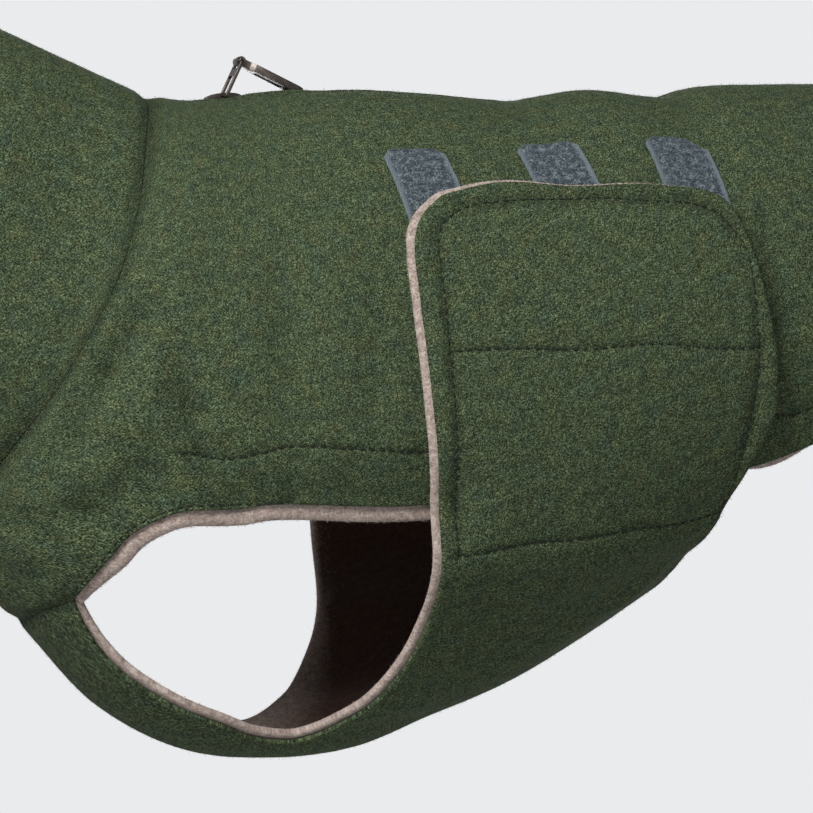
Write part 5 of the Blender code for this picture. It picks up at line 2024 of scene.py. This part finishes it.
@dataclass(frozen=True)
class ZipTeeth:
    """Two rows of nylon coil, closed behind the slider and parted in front of it."""

    pattern: Pattern
    pitch: float = 1.5 * MM
    lift: float = -2.35 * MM
    closed_offset: float = 1.15 * MM
    parted_offset: float = 1.95 * MM
    slider_front: float = -7.3 * MM
    slider_rear: float = 5.0 * MM

    def one_turn(self) -> Object:
        """One turn of the coil round X."""
        deselect()
        bpy.ops.mesh.primitive_torus_add(
            major_segments=12, minor_segments=6, major_radius=1.0 * MM, minor_radius=0.23 * MM,
            rotation=(0.0, math.radians(90), math.radians(9)),
        )
        bpy.ops.object.transform_apply(location=True, rotation=True, scale=True)
        turn = bpy.context.object
        turn.data.transform(Matrix.Diagonal((1.25, 1.2, 0.6, 1.0)))
        return turn

    def build(self, material: Material) -> Object:
        """Makes both rows as one mesh of closed turns."""
        p = self.pattern
        turn = self.one_turn()
        shape = np.array([vertex.co for vertex in turn.data.vertices])
        quads = np.array([face.vertices for face in turn.data.polygons])
        bpy.data.objects.remove(turn)
        faces = np.vstack([quads[:, [0, 1, 2]], quads[:, [0, 2, 3]]])
        points, triangles = [], []
        stretches = (
            (p.zip_start + 0.9 * MM, self.slider_front, self.parted_offset),
            (self.slider_rear, p.zip_end - 1.6 * MM, self.closed_offset),
        )
        for start, end, offset in stretches:
            for row, side in enumerate(Side):
                stations = np.arange(start + 0.5 * row * self.pitch, end, self.pitch)
                places = np.stack([stations, np.full(len(stations), BACK + 1e-4)], 1)
                spots = p.form.lifted(places, self.lift)
                ahead = unit(p.form.slopes_at(places)[0])
                for spot, run in zip(spots, ahead):
                    up = np.array([-run[2], 0.0, run[0]])
                    across = np.array([0.0, 1.0, 0.0])
                    mirrored_shape = shape * [1.0, -side.value, 1.0]
                    base = len(points) * len(shape)
                    centre = [spot[0], -side.value * offset, spot[2]]
                    points.append(centre + mirrored_shape @ np.stack([run, across, up]))
                    triangles.append((faces if side is Side.RIGHT else faces[:, ::-1]) + base)
        obj = shell_object("zip_teeth", np.vstack(points), np.vstack(triangles))
        settle(obj, COAT, Slot.ZIP_TEETH, material)
        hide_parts("zip_chain")
        log.info("zip teeth: %d turns", len(points))
        return obj


@dataclass(frozen=True)
class ZipHardware:
    """Slider, link and tab in their places at rest."""

    link_pivot: Point = (0.011851, 0.0, 0.006153)
    tab_pivot: Point = (0.017472, 0.0, 0.018207)
    slider_tilt: float = -5.02
    link_tilt: float = -65.0
    tab_tilt: float = 25.0
    bar_lift: float = 0.65 * MM

    def place(self, obj: Object, pivot: Vector, tilt: float, body: str, node: str) -> None:
        """Moves a part's mesh to its place, and gives it its finish and its body."""
        turned = Matrix.Rotation(math.radians(tilt), 4, "Y")
        obj.data.transform(Matrix.Translation(pivot) @ turned)
        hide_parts(node)
        settle(obj, body, Slot.GUNMETAL, self.finish(obj.name))

    def finish(self, name: str) -> Material:
        """Brushed metal, made for one part."""
        return MetalFinish(name + "_gunmetal").make()

    def build(self) -> None:
        """Makes the three parts."""
        tilt = math.radians(self.slider_tilt)
        up = Vector((math.sin(tilt), 0.0, math.cos(tilt)))
        slider = Slider().build()
        seat = Vector(self.link_pivot) - up * self.bar_lift
        self.place(slider, seat, self.slider_tilt, COAT, "zip_slider")
        link_part = PullLink().build()
        link_part.name = "link"
        self.place(link_part, Vector(self.link_pivot), self.link_tilt, "pull_link", "pull_link")
        tab = PullTab().build()
        self.place(tab, Vector(self.tab_pivot), self.tab_tilt, "pull_tab", "pull_tab")
        log.info("slider, link and tab made")


# ------------------------ stage
@dataclass(frozen=True)
class Studio:
    """Camera, soft lights, flat pale surroundings and the floor."""

    target: Point = (0.075, 0.0, -0.0953)
    distance: float = 1.4
    yaw: float = -17.0
    pixels_per_metre: float = 3000.0
    frame_pixels: float = 813.0
    surroundings: Colour = (0.823, 0.831, 0.847)
    walls: Colour = (0.66, 0.665, 0.675)
    ceiling: Colour = (0.12, 0.122, 0.125)
    floor_drop: float = 0.44
    floor_radius: float = 1.25

    def set_camera(self) -> None:
        """Sets the camera level, turned by the yaw."""
        turned = math.radians(self.yaw)
        ahead = Vector((-math.sin(turned), math.cos(turned), 0.0))
        data = bpy.data.cameras.new("camera")
        data.sensor_width = 36.0
        data.lens = data.sensor_width * self.pixels_per_metre * self.distance / self.frame_pixels
        camera = link(bpy.data.objects.new("camera", data))
        camera.location = Vector(self.target) - ahead * self.distance
        camera.rotation_euler = (math.radians(90.0), 0.0, turned)
        bpy.context.scene.camera = camera

    def shade_world(self, tree: bpy.types.NodeTree) -> None:
        """Makes surroundings that look pale, and that light the coat from all round but above."""
        nodes = Nodes(tree)
        direction = nodes.add("ShaderNodeTexCoord").outputs["Generated"]
        height = nodes.add("ShaderNodeSeparateXYZ", {0: direction}).outputs["Z"]
        lit = nodes.ramp(height, ((0.22, self.walls), (0.42, self.ceiling)))
        seen = nodes.add("ShaderNodeLightPath").outputs["Is Camera Ray"]
        shown = nodes.mix(seen, lit, self.surroundings)
        tree.links.new(shown, tree.nodes["Background"].inputs[0])

    def add_light(self, name: str, place: Vector, size: float, power: float, colour: Colour) -> None:
        """Adds one square soft light that faces the coat."""
        data = bpy.data.lights.new(name, "AREA")
        data.size = size
        data.energy = power
        data.color = colour
        light = link(bpy.data.objects.new(name, data))
        light.location = place
        light.visible_camera = False
        light.rotation_euler = (Vector(self.target) - place).to_track_quat("-Z", "Y").to_euler()

    def build(self) -> None:
        """Makes the whole stage."""
        scene = bpy.context.scene
        scene.view_settings.view_transform = "Standard"
        world = bpy.data.worlds.new("surroundings")
        world.use_nodes = True
        self.shade_world(world.node_tree)
        scene.world = world
        self.set_camera()
        self.add_light("key", Vector((-0.8, -0.99, 0.9)), 0.8, 43.0, (1.0, 0.99, 0.97))
        self.add_light("rear", Vector((0.75, 1.75, 0.05)), 1.2, 30.0, (1.0, 1.0, 1.0))
        deselect()
        bpy.ops.mesh.primitive_circle_add(vertices=96, radius=self.floor_radius, fill_type="NGON")
        floor = bpy.context.object
        floor.name = "floor"
        floor.data.transform(Matrix.Translation((self.target[0], 0.0, self.target[2] - self.floor_drop)))
        floor.data.materials.append(FloorFinish().make())


@dataclass(frozen=True)
class FlatCut:
    """Flat size of a piece, in metres, and what it lies on.

    The areas follow the cloth as it is built on the form.
    """

    width: float
    length: float
    area: float
    rests_on: tuple[str, ...]


CUTS = {
    "back": FlatCut(0.26, 0.41, 0.06, ("back_lining_{side}_cloth",)),
    "back_lining": FlatCut(0.25, 0.41, 0.059, ("back_{side}_cloth",)),
    "collar": FlatCut(0.2, 0.09, 0.0147, ("collar_lining_{side}_cloth",)),
    "collar_lining": FlatCut(0.2, 0.092, 0.015, ("collar_{side}_cloth",)),
    "belly_panel": FlatCut(0.4, 0.235, 0.053, ("back_left_cloth", "back_right_cloth")),
    "belly_lining": FlatCut(0.4, 0.24, 0.0535, ("belly_panel_cloth",)),
    "loop_tape_1": FlatCut(0.021, 0.07, 0.00147, ("back_{side}_cloth",)),
    "loop_tape_2": FlatCut(0.021, 0.064, 0.00134, ("back_{side}_cloth",)),
    "loop_tape_3": FlatCut(0.021, 0.058, 0.00121, ("back_{side}_cloth",)),
}


def declare_sheets(pieces: Sequence[ClothPiece], trims: dict[str, list[Object]]) -> None:
    """Looks up what each sheet of cloth was cut to, what it rests on and which trims are on it, and keeps
    none of it.
    """
    for piece in pieces:
        side = piece.side.label
        cut = CUTS[piece.name.replace("_" + side, "")]
        [name.format(side=side) for name in cut.rests_on]
        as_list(trims.get(piece.name, []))


def main() -> None:
    """Builds the whole scene."""
    logging.basicConfig(level=logging.INFO, format="%(name)s: %(message)s", stream=sys.stdout)
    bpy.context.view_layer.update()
    form = TrunkForm(RINGS, CREASES, WAVES)
    pattern = Pattern(form)
    loop = LoopFinish().make()
    zip_cloth = WovenFinish("zip_cloth", (0.008, 0.012, 0.008), (0.022, 0.031, 0.021), 900.0).make()
    thread = WovenFinish("thread", (0.002, 0.003, 0.002), (0.01, 0.014, 0.007), 1400.0).make()
    wool_fibre = FibreFinish(
        "wool_fibres", (0.006, 0.01, 0.005), (0.026, 0.037, 0.019), (0.085, 0.11, 0.066), 0.0
    ).make()
    fleece_fibre = FibreFinish(
        "fleece_pile", (0.16, 0.12, 0.1), (0.31, 0.25, 0.22), (0.46, 0.4, 0.36)
    ).make()
    loop_fibre = FibreFinish(
        "tape_loops", (0.02, 0.027, 0.034), (0.065, 0.082, 0.095), (0.22, 0.25, 0.27)
    ).make()
    cloth = Cloth(pattern, WoolFinish().make(), FleeceFinish().make())
    cloth.build_back()
    cloth.build_collar()
    cloth.build_belly()
    trims = cloth.sew(thread)
    tapes = Tapes(pattern)
    loops = tapes.build_loops(loop)
    for side, tape in zip(Side, tapes.build_zip(zip_cloth)):
        trims[f"back_{side.label}"].append(tape.obj)
    for seed, (name, piece) in enumerate(cloth.pieces.items()):
        if "lining" in name:
            nap = Nap(12000, 0.6 * MM, 1.7 * MM, 0.14 * MM, 0.9, seed, on_rims)
            trims.setdefault(name, []).append(nap.grow(piece, fleece_fibre, Slot.FLEECE))
        else:
            count = 14000 if "collar" in name else 45000
            nap = Nap(count, 0.7 * MM, 1.9 * MM, 0.12 * MM, 0.75, seed)
            trims.setdefault(name, []).append(nap.grow(piece, wool_fibre, Slot.WOOL))
    for seed, piece in enumerate(loops, start=100):
        nap = Nap(3000, 0.4 * MM, 0.9 * MM, 0.1 * MM, 0.8, seed)
        trims[piece.name] = [nap.grow(piece, loop_fibre, Slot.LOOP)]
    ZipTeeth(pattern).build(TeethFinish().make())
    ZipHardware().build()
    declare_sheets([*cloth.pieces.values(), *loops], trims)
    Studio().build()
    log.info("sizes written")


if __name__ == "__main__":
    main()
